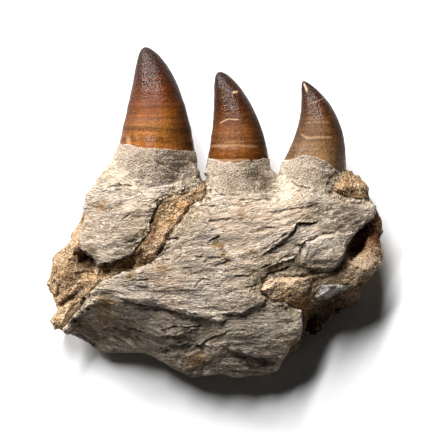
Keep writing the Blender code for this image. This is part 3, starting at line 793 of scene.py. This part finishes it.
# How far the fibres of the bone have risen, going right, above where they cross x = 0: x, y, rise
FIBRE_RISE = [
    (-70, -50, 14), (-60, 0, -3), (-40, 20, -1), (-45, -15, -3), (-30, -30, -1), (-50, -46, 8),
    (-25, -46, 3), (0, 20, 0), (0, 0, 0), (0, -20, 0), (0, -40, 0), (5, -54, 0), (20, 18, 1), (40, 5, 7),
    (75, 3, 18), (40, -15, 9), (62, -10, 17), (55, -25, 13), (20, -35, 1), (-60, -60, 6), (-30, -64, -6),
    (-45, -65, -1), (-20, -68, -8), (8, -60, 1), (33, -69, -5), (40, -50, -2), (0, -76, -1),
]

# Broken edges: a path, the drop of the ground on its right, and how far that reaches. First the solids'
# own ledges, whose rounded slopes are cut back to cliffs, and then the finer ones.
SOLID_LEDGES = [
    ([(-45.5, -40), (-38, -42), (-31, -44), (-15.5, -46.5), (-7, -49.5), (0, -51), (6.5, -51.5)], 4.4, 13),
    ([(3, -48), (12, -48.5), (18, -45), (23, -43), (25, -40.5)], 2.0, 9),
    ([(2.5, -63), (12, -66.5), (23, -69), (34, -70)], 3.6, 8),
    ([(-45, -54), (-36, -57), (-26, -59.5), (-16, -59), (-5, -54.5)], 1.8, 8),
    ([(-27, -68), (-19, -64), (-9.5, -63), (0, -64)], 2.2, 7),
    ([(23, -20), (29, -16), (35, -11.5), (38, -7), (39.5, -5), (49, -5)], 2.4, 6),
    ([(24, -27), (31, -24), (40, -21)], 1.4, 6),
]
LEDGES = [
    ([(-38.5, -45), (-27, -46), (-15.5, -47.5)], 0.6, 5),
    ([(-44, -54), (-37.5, -55.5), (-32, -58.5)], 0.7, 5),
    ([(-26.5, -57), (-20, -54.5), (-10, -54.5), (-4.5, -53)], 1.0, 5),
    ([(-28, -66.5), (-19, -63), (-10, -59.5)], 0.7, 4),
    ([(-10, -65), (-1.5, -60), (8.5, -56)], 0.9, 4),
    ([(21, -19), (29, -13.5), (37.5, -8), (39, -5.5), (47.5, -5)], 0.5, 4),
    ([(20.5, -21), (26.5, -19), (35.5, -18), (43.5, -13.5), (53, -9.5), (62.5, -8)], 0.9, 4),
    ([(22, -26.5), (27, -24.5), (33, -21), (40, -19.5)], 0.6, 4),
    ([(22, -32.5), (27, -28.5), (36, -26)], 1.0, 4),
    ([(-26.5, -18.5), (-21.5, -17), (-15, -16)], 0.8, 4),
    ([(-39.5, -32.5), (-31, -31.5)], 0.8, 4),
    ([(-9.5, -20.5), (-1.5, -21.5), (4, -21)], 0.8, 3),
    ([(12, -36), (16.5, -35), (21, -34)], 0.7, 3),
    ([(5.5, -30), (18, -30)], 0.5, 3),
    ([(-1, -25.5), (4, -24), (8, -22.5)], 0.6, 3),
    ([(-3, -13.5), (0.5, -12.5), (2, -11)], 0.9, 3),
    ([(19, -8.5), (24, -7), (31, -7.3)], 0.6, 3),
    ([(-16, 2), (-6, 3.5), (4, 2.5)], 0.5, 3),
    ([(-4, -4), (6, -3), (14, -3.5)], 0.5, 3),
    ([(10, 6), (22, 6.5), (34, 5)], 0.6, 3),
    ([(24, 0), (36, 1.5), (48, 3.5)], 0.6, 3),
]
# Cracks: a path, width, depth, and how far a groove of the solid is filled before the crack is cut
CRACKS = [
    ([(-50.5, 11.5), (-45, 12.5), (-38.5, 12)], 0.6, 1.0, 0.6),
    ([(-44.5, -4.5), (-42, -2.5), (-39.5, -1)], 0.35, 0.7, 0),
    ([(-42.5, -14.5), (-37.5, -14)], 0.45, 0.9, 0),
    ([(-6.5, -31.5), (-9.5, -36)], 0.3, 0.7, 0),
    ([(-6.5, -31.5), (-2, -32.5)], 0.4, 0.8, 0),
    ([(-25, -13), (-17, -13)], 0.5, 1.0, 0),
    ([(43, -13.5), (40.5, -18), (40.5, -24)], 0.5, 1.5, 1.3),
    ([(-24.5, -23), (-21, -22.5)], 0.5, 0.8, 0),
    ([(-6, 12), (-6, 6)], 0.45, 0.8, 0),
    ([(-15, 0.5), (-15, -7.5)], 0.3, 0.4, 0),
    ([(37.5, -5.8), (46, -5.2)], 0.5, 1.0, 0),
    ([(0.2, 10.3), (2.5, 8.2), (5.5, 7.4)], 0.5, 0.9, 0.8),
    ([(37, 14), (40, 11.8), (46, 10.9)], 0.5, 0.9, 0.8),
    ([(-31, 27), (-26, 23), (-20, 20), (-14, 18)], 0.5, 0.5, 0),
    ([(-27, 25.5), (-20, 24), (-14, 25)], 0.4, 0.5, 0),
]
# Patches: x, y, radius, strength. Iron staining, clinging matrix, fresh chalky bone with painted highlight
# on lit faces, painted shade on faces turned from the light with some darker staining, and the grey of the
# splinter.
STAINS = [
    (-53, 3, 4.8, 1.0), (0.5, -12.5, 2.6, 0.9), (4, -21, 3.2, 0.9), (13, -2, 3.0, 0.8),
    (18.5, -19, 2.6, 1.0), (23, -8, 2.0, 0.8), (22.5, -11.5, 2.0, 0.5), (-9, -71.5, 6, 1.0),
    (-53, -44, 7, 1.0), (-51, -51, 5, 1.0), (-62, -56, 5, 0.8), (37, -62, 3.5, 0.9), (-25.5, 1, 5, 0.9),
    (-21, 3.5, 3, 0.9), (-46, 12, 3, 0.6), (-31, -31, 4.5, 0.6), (12, 3, 3, 0.5), (-42, 12.5, 3, 0.7),
    (-25, -27, 4.5, 0.9), (41, -22, 4, 0.4), (1, -15.5, 3.6, 1.0), (4, -20.3, 3, 1.0), (5, -23, 4, 0.8),
    (2.2, -11.5, 2.2, 1.0), (-14, 2, 5, 1.0), (-18, -3, 4, 0.9), (-40, -31, 4, 0.7), (14, 1, 3, 0.6),
    (8, -9, 4, 0.5), (-2, -3, 4, 0.5), (27, -3, 4, 0.4), (-46, 3, 4, 0.5), (-44, -19, 4, 0.4),
    (10, -28, 4, 0.4), (-14, -28, 4, 0.4), (44, -2, 4, 0.5), (54, -8, 4, 0.5), (22, -47, 5, 0.4),
]
SANDY = [
    (-10, 0, 5, 1.2), (-14, -5, 5, 1.2), (-19, -10, 5, 1.1), (-24, -16, 4.5, 1.0), (-30, -22, 4.5, 0.9),
    (18, -30, 6, 0.8), (26, -25, 7, 0.9), (36, -24, 7, 0.8), (47, -27, 5, 1.0), (16, -22, 4, 0.5),
    (-37, -12, 3, 0.5), (-62, -8, 3, 0.7), (19, -36, 5, 0.9), (22, -32, 5, 0.9), (27, -43, 3, 0.6),
    (-28, -8, 4, 0.9), (27, -36, 5, 0.6), (50, -29, 7, 0.7), (38, -30, 6, 0.6), (-55, 18, 6, 0.6),
    (-40, -28, 6, 0.5), (10, 9, 6, 0.5), (22, 13, 6, 0.5), (60, 9, 5, 0.7), (-64, -34, 5, 0.5),
    (30, 2, 4, 0.2), (-59, -22, 4, 1.0),
]
# chalky bone, and painted highlight on the lit left sides of the roots, on the flake's facet and low on the
# jaw
CHALK_AND_HIGHLIGHT = [
    (-7.5, 17, 5, 0.9), (-6, 9, 4, 0.8), (-1, 17, 5, 0.9), (33, 15, 6, 0.95), (34, 8, 6, 0.7),
    (37, 21, 5, 0.6), (-44, 22, 7, 0.9), (-37, 16, 6, 0.7), (-42, 14, 4, 0.9), (52, 9, 7, 0.7),
    (-50, 11, 4, 0.8), (-60, -44, 5, 0.8), (-70, -53, 4, 0.8), (-58, -34, 5, 0.7), (48, -31, 3, 0.6),
    (72, 2, 4, 0.6), (-1, 6, 4, 0.5), (52, -12, 6, 0.8), (58, -14, 5, 0.7), (58, -18, 5, 0.35),
    (5, -55, 8, 0.8), (24, -55, 9, 0.7), (-2, -48, 5, 0.3),
]
# painted shade on faces turned from the light: the roots' right sides, the jaw's lower part and upper
# right, with some darker staining
SHADED = [
    (-10, -72, 14, 0.8), (15, -75, 14, 0.6), (-45, -58, 14, 0.6), (-62, -60, 8, 0.8), (-50, -46, 8, 0.4),
    (-28, -64, 12, 0.3), (30, -74, 9, 0.3), (-15, 23, 5, 1.0), (-20, 17, 5, 0.7), (17.5, 20, 5, 0.9),
    (24, 13, 5, 0.9), (8, 12, 4, 0.4), (56, 18, 6, 0.7), (-32, 19, 6, 0.35), (50, 1, 7, 0.6),
    (64, -3, 8.5, 1.0), (30, -20, 6, 0.2), (38, -21, 6, 0.25), (62, -23, 4, 0.5), (-46, -8, 14, 0.32),
    (-59, -22, 5, 1.0), (-19, 26, 6, 1.0), (-22, 21, 6, 1.0), (20, 17, 5, 0.8), (-15, -20, 20, 0.2),
]
SLATE = [(52, -36, 6, 1.0), (60, -38, 6, 1.0)]
# The roots' bone is spongy and not fibrous: x, y, reach along x, reach along y
SPONGY = [(-28, 26, 23, 13), (12, 18, 17, 12), (48, 19, 15.5, 9.5), (-10, 14, 6, 6)]


def girth(node, heights):
    """The middle and the half widths of a tooth at those heights: its root's, or above it its crown's."""
    tooth, rows = TEETH[node], np.array(ROOTS[node])[::-1]
    share = np.clip(1 - (heights - tooth["base_y"]) / tooth["height"], 0, 1)
    half = tooth["width"] / 2 * share ** tooth["swell"]
    middle = tooth["base_x"] + tooth["lean"] * (1 - share) - tooth["hook"] * (1 - share) ** tooth["bend"]
    return [np.where(heights >= rows[-1, 0], above, np.interp(heights, rows[:, 0], rows[:, i]))
            for i, above in ((1, middle), (2, half), (3, half * TOOTH_DEPTH))]


def cuff(node):
    """The root's bone where it laps up over the foot of the crown, with an uneven edge."""
    tooth = TEETH[node]
    turn = np.linspace(0, 2 * math.pi, CUFF_SIDES, endpoint=False)
    across = np.cos(turn)
    middle, half, _ = girth(node, np.full(CUFF_SIDES, tooth["base_y"]))
    around = np.c_[across, np.sin(turn), np.full(CUFF_SIDES, tooth["base_x"])]
    rise = np.interp(middle + half * across, *np.array(MARGINS[node]).T)
    rise = rise + 0.4 * noise(around * (5, 5, 1), 81) + 0.3 * noise(around * (14, 14, 1), 82)
    margin = tooth["base_y"] + np.clip(rise, -0.2, 9)
    foot = ROOTS[node][0][0] - CUFF_DEPTH
    rows = []
    steps = [(share, CUFF_PROUD * smooth(share * 2)) for share in np.linspace(0, 1, CUFF_ROWS)]
    for share, proud in steps + [(1.02, 0.1), (1.03, -1.5)]:
        heights = foot + (margin - foot) * share
        middle, half, deep = girth(node, heights)
        fade = np.clip(1 - (heights - tooth["base_y"]) / tooth["height"] / SLANT_FADE, 0, 1)
        x = (half + proud) * (1 + KEEL * across**KEEL_SHARPNESS) * across
        rows.append(np.c_[middle + x, heights + tooth["slant"] * fade * x,
                          AXIS_HEIGHT - (deep + proud) * np.sin(turn)])
    vertices = np.concatenate([*rows, [rows[0].mean(axis=0), rows[-1].mean(axis=0)]]) * MM
    last = (len(rows) - 1) * CUFF_SIDES
    faces = []
    for low, side in itertools.product(range(0, last, CUFF_SIDES), range(CUFF_SIDES)):
        following = (side + 1) % CUFF_SIDES
        faces.append((low + side, low + following, low + CUFF_SIDES + following, low + CUFF_SIDES + side))
    for side in range(CUFF_SIDES):
        following = (side + 1) % CUFF_SIDES
        faces.append((following, side, len(vertices) - 2))
        faces.append((last + side, last + following, len(vertices) - 1))
    mesh = bpy.data.meshes.new(node + "_cuff")
    mesh.from_pydata(vertices.tolist(), [], faces)
    shape = bmesh.new()
    shape.from_mesh(mesh)
    bmesh.ops.recalc_face_normals(shape, faces=shape.faces)
    shape.to_mesh(mesh)
    shape.free()
    return mesh


def plates(place, length, width, step, levels, seed):
    """Thin layers broken back unevenly: flat steps with sharp, angular edges, drawn out along the
    fibres. Each layer dips a little towards the edge of the next."""
    field = facets(place / (length, width, width), seed)
    field = field + 0.5 * facets(place / (length / 2.6, width / 2.2, width / 2), seed + 1)
    field = field + 0.14 * noise(place / (length / 8, width / 6, width / 4), seed + 2)
    level = (field + 1) / 2 * levels
    part = level - np.floor(level)
    return step * (np.floor(level) + smooth(part / 0.12) - 0.3 * part)


def spongy_share(points):
    share = np.zeros(len(points))
    wobble = 0.22 * layered(points / 5.0, 2, 91)
    for x, y, wide, high in SPONGY:
        away = np.hypot((points[:, 0] - x) / wide, (points[:, 1] - y) / high) + wobble
        share = np.maximum(share, smooth((1.05 - away) / 0.25))
    return share


def bone_relief(points, normals, to_matrix):
    """How deep the bone is cut in at each point, and its marks for the materials."""
    # where each point lies along, across and up through the fibres
    place = np.c_[points[:, 0], points[:, 1] - sheet(FIBRE_RISE)(points[:, :2]), points[:, 2]]
    xy = points[:, :2] + WANDER * wandering(points, WANDER_SIZE, 31)
    clinging = smooth(1.3 - to_matrix / 5.5) * (0.7 + 1.1 * layered(points / 3.0, 3, 75))
    sandy = np.maximum(blots(points, SANDY, 0.9, 74), np.clip(clinging, 0, 0.9))
    spongy = np.maximum(spongy_share(points), smooth(1.4 * sandy - 0.3))
    # thin layers and hairline cracks in the fibrous bone, lumps and pores in the spongy bone
    depth = plates(place, *LARGE_PLATES) + plates(place, *MIDDLE_PLATES) - 0.36
    depth += plates(place, *SMALL_PLATES) - 0.2
    crackle = np.abs(noise(place / (3.8, 1.4, 3), 51))
    depth += 0.5 * smooth(1 - crackle / 0.07) * smooth(noise(place / 4, 52) * 3 - 0.2)
    depth *= 1 - spongy
    pores = layered(points / 1.4, 2, 55)
    depth += spongy * (0.2 - 0.5 * layered(points / 6.0, 2, 53) + 0.25 * smooth((pores - 0.2) / 0.4))
    for path, drop, reach in SOLID_LEDGES:
        distance, side, along = along_path(points[:, :2], path)
        slope = smooth(0.5 - side * distance / SLOPE_WIDTH)
        rough, rough_side, _ = along_path(xy, path)
        cliff = smooth(0.5 - rough_side * rough / CLIFF_WIDTH)
        fade = humps(distance, reach) * smooth(6 * along * (1 - along) + 0.15)
        depth += CLIFF_SHARE * drop * (cliff - slope) * fade
    broken = 0.25 + 0.75 * smooth(0.6 + 1.3 * noise(place / (4, 3, 3), 57))
    for path, drop, reach in LEDGES:
        distance, side, along = along_path(xy, path)
        ends = smooth(7 * along * (1 - along) + 0.2)
        below = smooth(0.5 - side * distance / CLIFF_WIDTH)
        foot = humps(distance - 0.4, 0.45) * below * ends
        depth += (drop * below * (humps(distance, reach) * ends) + FOOT_DEPTH * foot) * broken
    for path, width, deep, fill in CRACKS:
        distance, _, along = along_path(xy, path)
        cut = humps(distance, width) * smooth(8 * along * (1 - along) + 0.3)
        depth += deep * cut - fill * humps(distance, FILL_WIDTH)
    depth += 0.12 + 0.1 * noise(points / 0.9, 61)
    depth += CLING_STEP * sandy * smooth((CLING_REACH - to_matrix) / 4)
    tilt = np.clip(normals[:, 2], 0, 1)
    depth -= 3.2 * SQUARE_EDGE * tilt**2 * (1 - tilt**2)
    marks = {
        "fibre": place,
        "spongy": spongy,
        "stain": blots(points, STAINS, 1.0, 71, 1.6),
        "sandy": sandy,
        # the chalky patches are partly painted highlight
        "chalk": blots(points, CHALK_AND_HIGHLIGHT, 0.7, 77),
        # the SHADED patches are painted shade, with some darker staining
        "umber": blots(points, SHADED, 0.5, 79),
        "slate": blots(points, SLATE, 0.5, 83),
    }
    front = smooth((normals[:, 2] + 0.3) / 0.6)
    return np.clip(depth, -BONE_PROUD, BONE_DEEP) * (0.5 + 0.5 * front), marks


def bone_piece(node, material):
    meshes = [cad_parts[node].data] + [cuff(tooth) for tooth in ROOT_OF[node]]
    piece = blank(node + "_stone", meshes, BONE_CELL, 4)
    carve(piece, bone_relief, ["matrix"])
    piece.data.materials.clear()
    piece.data.materials.append(material)
    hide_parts(node)
    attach(piece, "root")


# ---- Matrix ----

FACES = ((8.0, 1.1, 101), (3.2, 0.6, 103))  # the rock's flat broken faces: size, height, seed
PIT_DEPTH = 0.5
CRUMB_HEIGHT = 0.4
LAP = 0.5  # how far the sand laps up on the bone
HOLLOW_DEPTH = 3.0
FILL_HEIGHT = 3.2
MATRIX_PROUD, MATRIX_DEEP = 2.4, 5.0  # the most that the rock stands out and is cut in
# Broken edges of the rock: a path, the drop of the ground on its right, and how far that reaches
MATRIX_LEDGES = [
    ([(-67, -29), (-61, -27), (-58.5, -24), (-58, -18)], 1.6, 4),
    ([(-64, -37.5), (-69, -40), (-75.5, -45)], -1.2, 4),
    ([(-79, -30), (-75, -33), (-76, -40)], -1.5, 4),
    ([(60, -22), (62, -17), (67, -9)], 1.5, 7),
    ([(81, -24), (77, -28), (71, -33), (66, -36), (60, -39)], -1.5, 6),
]
# Patches: x, y, radius, strength. Hollows and fills in the ground, and the colours of the sand: ochre and
# rust staining, paler sand partly painted light, painted shade, and a darker painted shade.
HOLLOWS = [
    (-61, -21, 3.4, 0.9), (-56.5, -21, 2.6, 0.8), (-58.5, -26, 1.8, 0.7), (-39, -26, 2.2, 0.6),
    (-52, -29, 1.8, 0.8), (-33, -25.5, 2.5, 0.6), (66, 7.5, 3.0, 0.6), (-77, -34, 3, 0.5),
    (-37, 0, 2.0, 0.4), (65, -18, 4.5, 0.7), (76, -5, 4, 0.4), (72, -9, 3, 0.3), (53, -46, 5, 1.3),
    (60, -45, 4, 1.0), (48, -53, 5, 1.2), (49, -37.5, 4.5, 1.0), (57, -39, 4.5, 1.0),
]
FILLS = [
    (-13, 2, 3.5, 1.0), (-17, -3, 3.5, 1.0), (-22, -9, 3.5, 1.0), (-26, -15, 3.5, 0.9),
    (-32, -21, 3.5, 0.5), (26, -36, 7, 0.5), (38, -35, 5, 0.4),
]
OCHRE = [
    (43, -45, 5, 0.9), (36, -42, 6, 0.5), (-71, -42, 6, 0.3), (-76, -52, 5, 0.25), (66, 14, 6, 0.15),
    (75, -15, 5, 0.5), (-40, -27, 5, 0.4), (-15, 2, 3.5, 0.6), (-19, -4, 3, 0.4), (-24, -12, 3, 0.3),
    (-77, -27, 3, 0.4),
]
RUST = [
    (76, -5, 7, 1.2), (78, -11, 5, 1.1), (70, -9, 4, 1.0), (70, -14, 4, 0.9), (-37, -22, 2.5, 0.7),
    (-30, -12, 2.5, 0.5),
]
# paler sand; in the bay and on the right ledge it is painted light on sand that lies in shade
PALE = [
    (24, -37, 7, 1.0), (34, -35, 7, 1.0), (42, -39, 6, 0.9), (45, -34, 6, 1.0), (54, -33, 5, 0.8),
    (-14, -1, 3, 0.6), (-18, -6, 3, 0.7), (-23, -12, 3, 0.7), (-28, -17, 3, 0.6), (-66, -12, 6, 0.25),
    (-60, 4, 5, 0.4), (-70, -49, 8, 1.0), (70, -25, 10, 0.75), (-76, -24, 4, 0.3),
]
# painted shade: along the channel under the fragment's edge, on the wall below the jaw's lower right, in
# the hollow and at the left end
SHADED_SAND = [
    (-70, -32, 7, 0.8), (60, -50, 14, 0.8), (45, -62, 12, 0.8), (-61, -22, 4, 0.6), (-25, 3, 3.5, 0.5),
    (-28, -6, 3.5, 0.8), (-31, -13, 3.5, 0.9), (-36, -19, 4, 0.9),
]
# a darker painted shade, nearly black, on the wall below the splinter and the jaw's lower right, and in the
# hollow at the left
DEEP_SHADE = [
    (52, -50, 7, 0.35), (46, -60, 8, 0.35), (60, -49, 5, 0.4), (52, -44, 3, 0.7), (64, -45, 3, 0.4),
    (73, -36, 3, 0.5), (-59, -23, 2.5, 0.5),
]


def matrix_relief(points, normals, to_bone):
    """How deep the rock is cut in at each point, and its marks for the materials."""
    wander = points + WANDER * np.c_[wandering(points, WANDER_SIZE, 131), noise(points / WANDER_SIZE, 133)]
    crumbs = layered(points / 1.8, 2, 111)
    pits = smooth((layered(points / 3.0, 2, 117) - 0.4) / 0.3)
    lapping = np.clip(smooth(1 - to_bone / 3.0) * (0.1 + 1.4 * layered(points / 3.0, 2, 119)), 0, 1)
    depth = MATRIX_SWELL
    for size, height, seed in FACES:
        depth = depth - height * facets(wander / size, seed)
    depth += PIT_DEPTH * pits - CRUMB_HEIGHT * crumbs - LAP * lapping
    for path, drop, reach in MATRIX_LEDGES:
        distance, side, along = along_path(wander[:, :2], path)
        below = smooth(0.5 - side * distance / 0.6)
        depth += drop * below * (humps(distance, reach) * smooth(7 * along * (1 - along) + 0.2))
    depth += HOLLOW_DEPTH * blots(points, HOLLOWS, 0.3, 125) - FILL_HEIGHT * blots(points, FILLS)
    marks = {
        "ochre": blots(points, OCHRE, 0.8, 121),
        "rust": blots(points, RUST, 0.8, 122),
        # pale is partly painted light on sand that lies in shade; the next two are painted shade
        "pale": blots(points, PALE, 0.6, 123),
        "umber": blots(points, SHADED_SAND, 0.6, 124),
        "manganese": blots(points, DEEP_SHADE, 0.5, 126),
        "open": smooth((normals[:, 2] - 0.1) / 0.3),
    }
    return np.clip(depth, -MATRIX_PROUD, MATRIX_DEEP), marks


def matrix_piece():
    piece = blank("matrix_stone", [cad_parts["matrix"].data], MATRIX_CELL, 3, swell=MATRIX_SWELL)
    carve(piece, matrix_relief, ["jaw_bone", "jaw_fragment", "bone_splinter"])
    piece.data.materials.clear()
    piece.data.materials.append(phosphate_sand())
    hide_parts("matrix")
    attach(piece, "root")
    return piece


def grain_tree():
    """Geometry Nodes: loose grains strewn over the open faces of a stone."""
    tree, given, new = new_rule("loose_grains", per_square_metre="Float", smallest="Float",
                                largest="Float", stone="Object", seed="Int", quartz="Material")
    stone = new("GeometryNodeObjectInfo", {"Object": given["stone"]}, out="Geometry")
    bare, covered = (new("GeometryNodeInputNamedAttribute", {"Name": mark}, data_type="FLOAT")
                     for mark in ("open", "hidden"))
    bare = new("Math", {0: bare, 1: covered}, operation="SUBTRACT", use_clamp=True)
    density = new("Math", {0: bare, 1: given["per_square_metre"]}, operation="MULTIPLY")
    points = new("GeometryNodeDistributePointsOnFaces",
                 {"Mesh": stone, "Density": density, "Seed": given["seed"]})
    grain = new("GeometryNodeMeshIcoSphere", {"Radius": 0.5, "Subdivisions": 1})
    size = new("FunctionNodeRandomValue",
               {"Min_001": given["smallest"], "Max_001": given["largest"], "Seed": 1},
               out="Value_001", data_type="FLOAT")
    shape, turn = (
        new("FunctionNodeRandomValue", {"Min": low, "Max": high, "Seed": seed}, out="Value",
            data_type="FLOAT_VECTOR")
        for low, high, seed in (((0.7, 0.7, 0.5), (1.2, 1.1, 0.9), 2), ((0, 0, 0), (math.tau,) * 3, 3)))
    scale = new("VectorMath", {0: shape, "Scale": size}, operation="SCALE")
    strewn = new("GeometryNodeInstanceOnPoints",
                 {"Points": points, "Instance": grain, "Rotation": turn, "Scale": scale})
    tone = new("FunctionNodeRandomValue", {"Seed": 4}, out="Value_001", data_type="FLOAT")
    strewn = new("GeometryNodeStoreNamedAttribute",
                 {"Geometry": strewn, "Name": "tone", "Value": tone}, data_type="FLOAT", domain="INSTANCE")
    return made_of(tree, strewn, given["quartz"])


def matrix_grains(stone):
    piece = grown("matrix_grains", grain_tree(), stone=stone, quartz=quartz_grains(), seed=5,
                  per_square_metre=0.9e6, smallest=0.45 * MM, largest=1.0 * MM)
    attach(piece, "root")


# ---- Studio ----

CAMERA_HEIGHT = 1200.0  # above the teeth's axis
VIEW_WIDTH = 207.4  # what the view takes in at that height
VIEW_CENTRE = (0.7, -2.0)
SENSOR = 36.0
LAMP_AWAY = 2.0  # metres
FLOOR_REACH = 1.5  # metres
EVEN_LIGHT = 0.0189  # the strength of the faint light from all round


def hang(name, data, location):
    """Puts a lamp or a camera in the scene, at a place in metres."""
    holder = bpy.data.objects.new(name, data)
    holder.location = location
    bpy.context.scene.collection.objects.link(holder)
    return holder


def lamp(name, size, watts, azimuth, elevation, roll):
    """A soft oval lamp, turned about the line to the stone by `roll`. Angles are in degrees."""
    light = bpy.data.lights.new(name, "AREA")
    light.shape = "ELLIPSE"
    light.size, light.size_y = size
    light.energy = watts
    azimuth, elevation = math.radians(azimuth), math.radians(elevation)
    level, up = LAMP_AWAY * math.cos(elevation), LAMP_AWAY * math.sin(elevation)
    holder = hang(name, light, (level * math.cos(azimuth), level * math.sin(azimuth), up))
    facing = (-holder.location).to_track_quat("-Z", "Y")
    holder.rotation_euler = (facing @ Quaternion((0, 0, 1), math.radians(roll))).to_euler()


def studio():
    """White paper under the stone, a camera straight above, two soft lamps and a faint even light."""
    scene = bpy.context.scene
    floor_mesh = bpy.data.meshes.new("floor")
    corners = [(x * FLOOR_REACH, y * FLOOR_REACH, 0) for x, y in ((-1, -1), (1, -1), (1, 1), (-1, 1))]
    floor_mesh.from_pydata(corners, [], [(0, 1, 2, 3)])
    floor = new_piece("floor", floor_mesh)
    material, shader, _ = new_material("white_paper")
    feed(shader, {"Base Color": (0.9, 0.9, 0.9, 1), "Roughness": 0.9, "Specular IOR Level": 0.1})
    floor.data.materials.append(material)

    camera = bpy.data.cameras.new("camera")
    camera.sensor_width = SENSOR
    camera.lens = SENSOR * CAMERA_HEIGHT / VIEW_WIDTH
    camera.clip_start = 0.01
    place = (VIEW_CENTRE[0] * MM, VIEW_CENTRE[1] * MM, (AXIS_HEIGHT + CAMERA_HEIGHT) * MM)
    scene.camera = hang("camera", camera, place)

    lamp("key", (1.55, 0.16), 73.7, azimuth=105.6, elevation=46, roll=39.5)
    lamp("fill", (0.8, 0.8), 66.9, azimuth=134.6, elevation=20, roll=0)

    world = bpy.data.worlds.new("studio")
    world.use_nodes = True
    feed(world.node_tree.nodes["Background"], {"Color": (1, 1, 1, 1), "Strength": EVEN_LIGHT})
    scene.world = world
    scene.view_settings.view_transform = "Standard"


bone = fossil_bone()
for node in ROOT_OF:
    bone_piece(node, bone)
matrix_grains(matrix_piece())
crown_rule = crown_tree()
for seed, node in enumerate(TEETH, 1):
    crown_piece(node, crown_rule, seed)
studio()
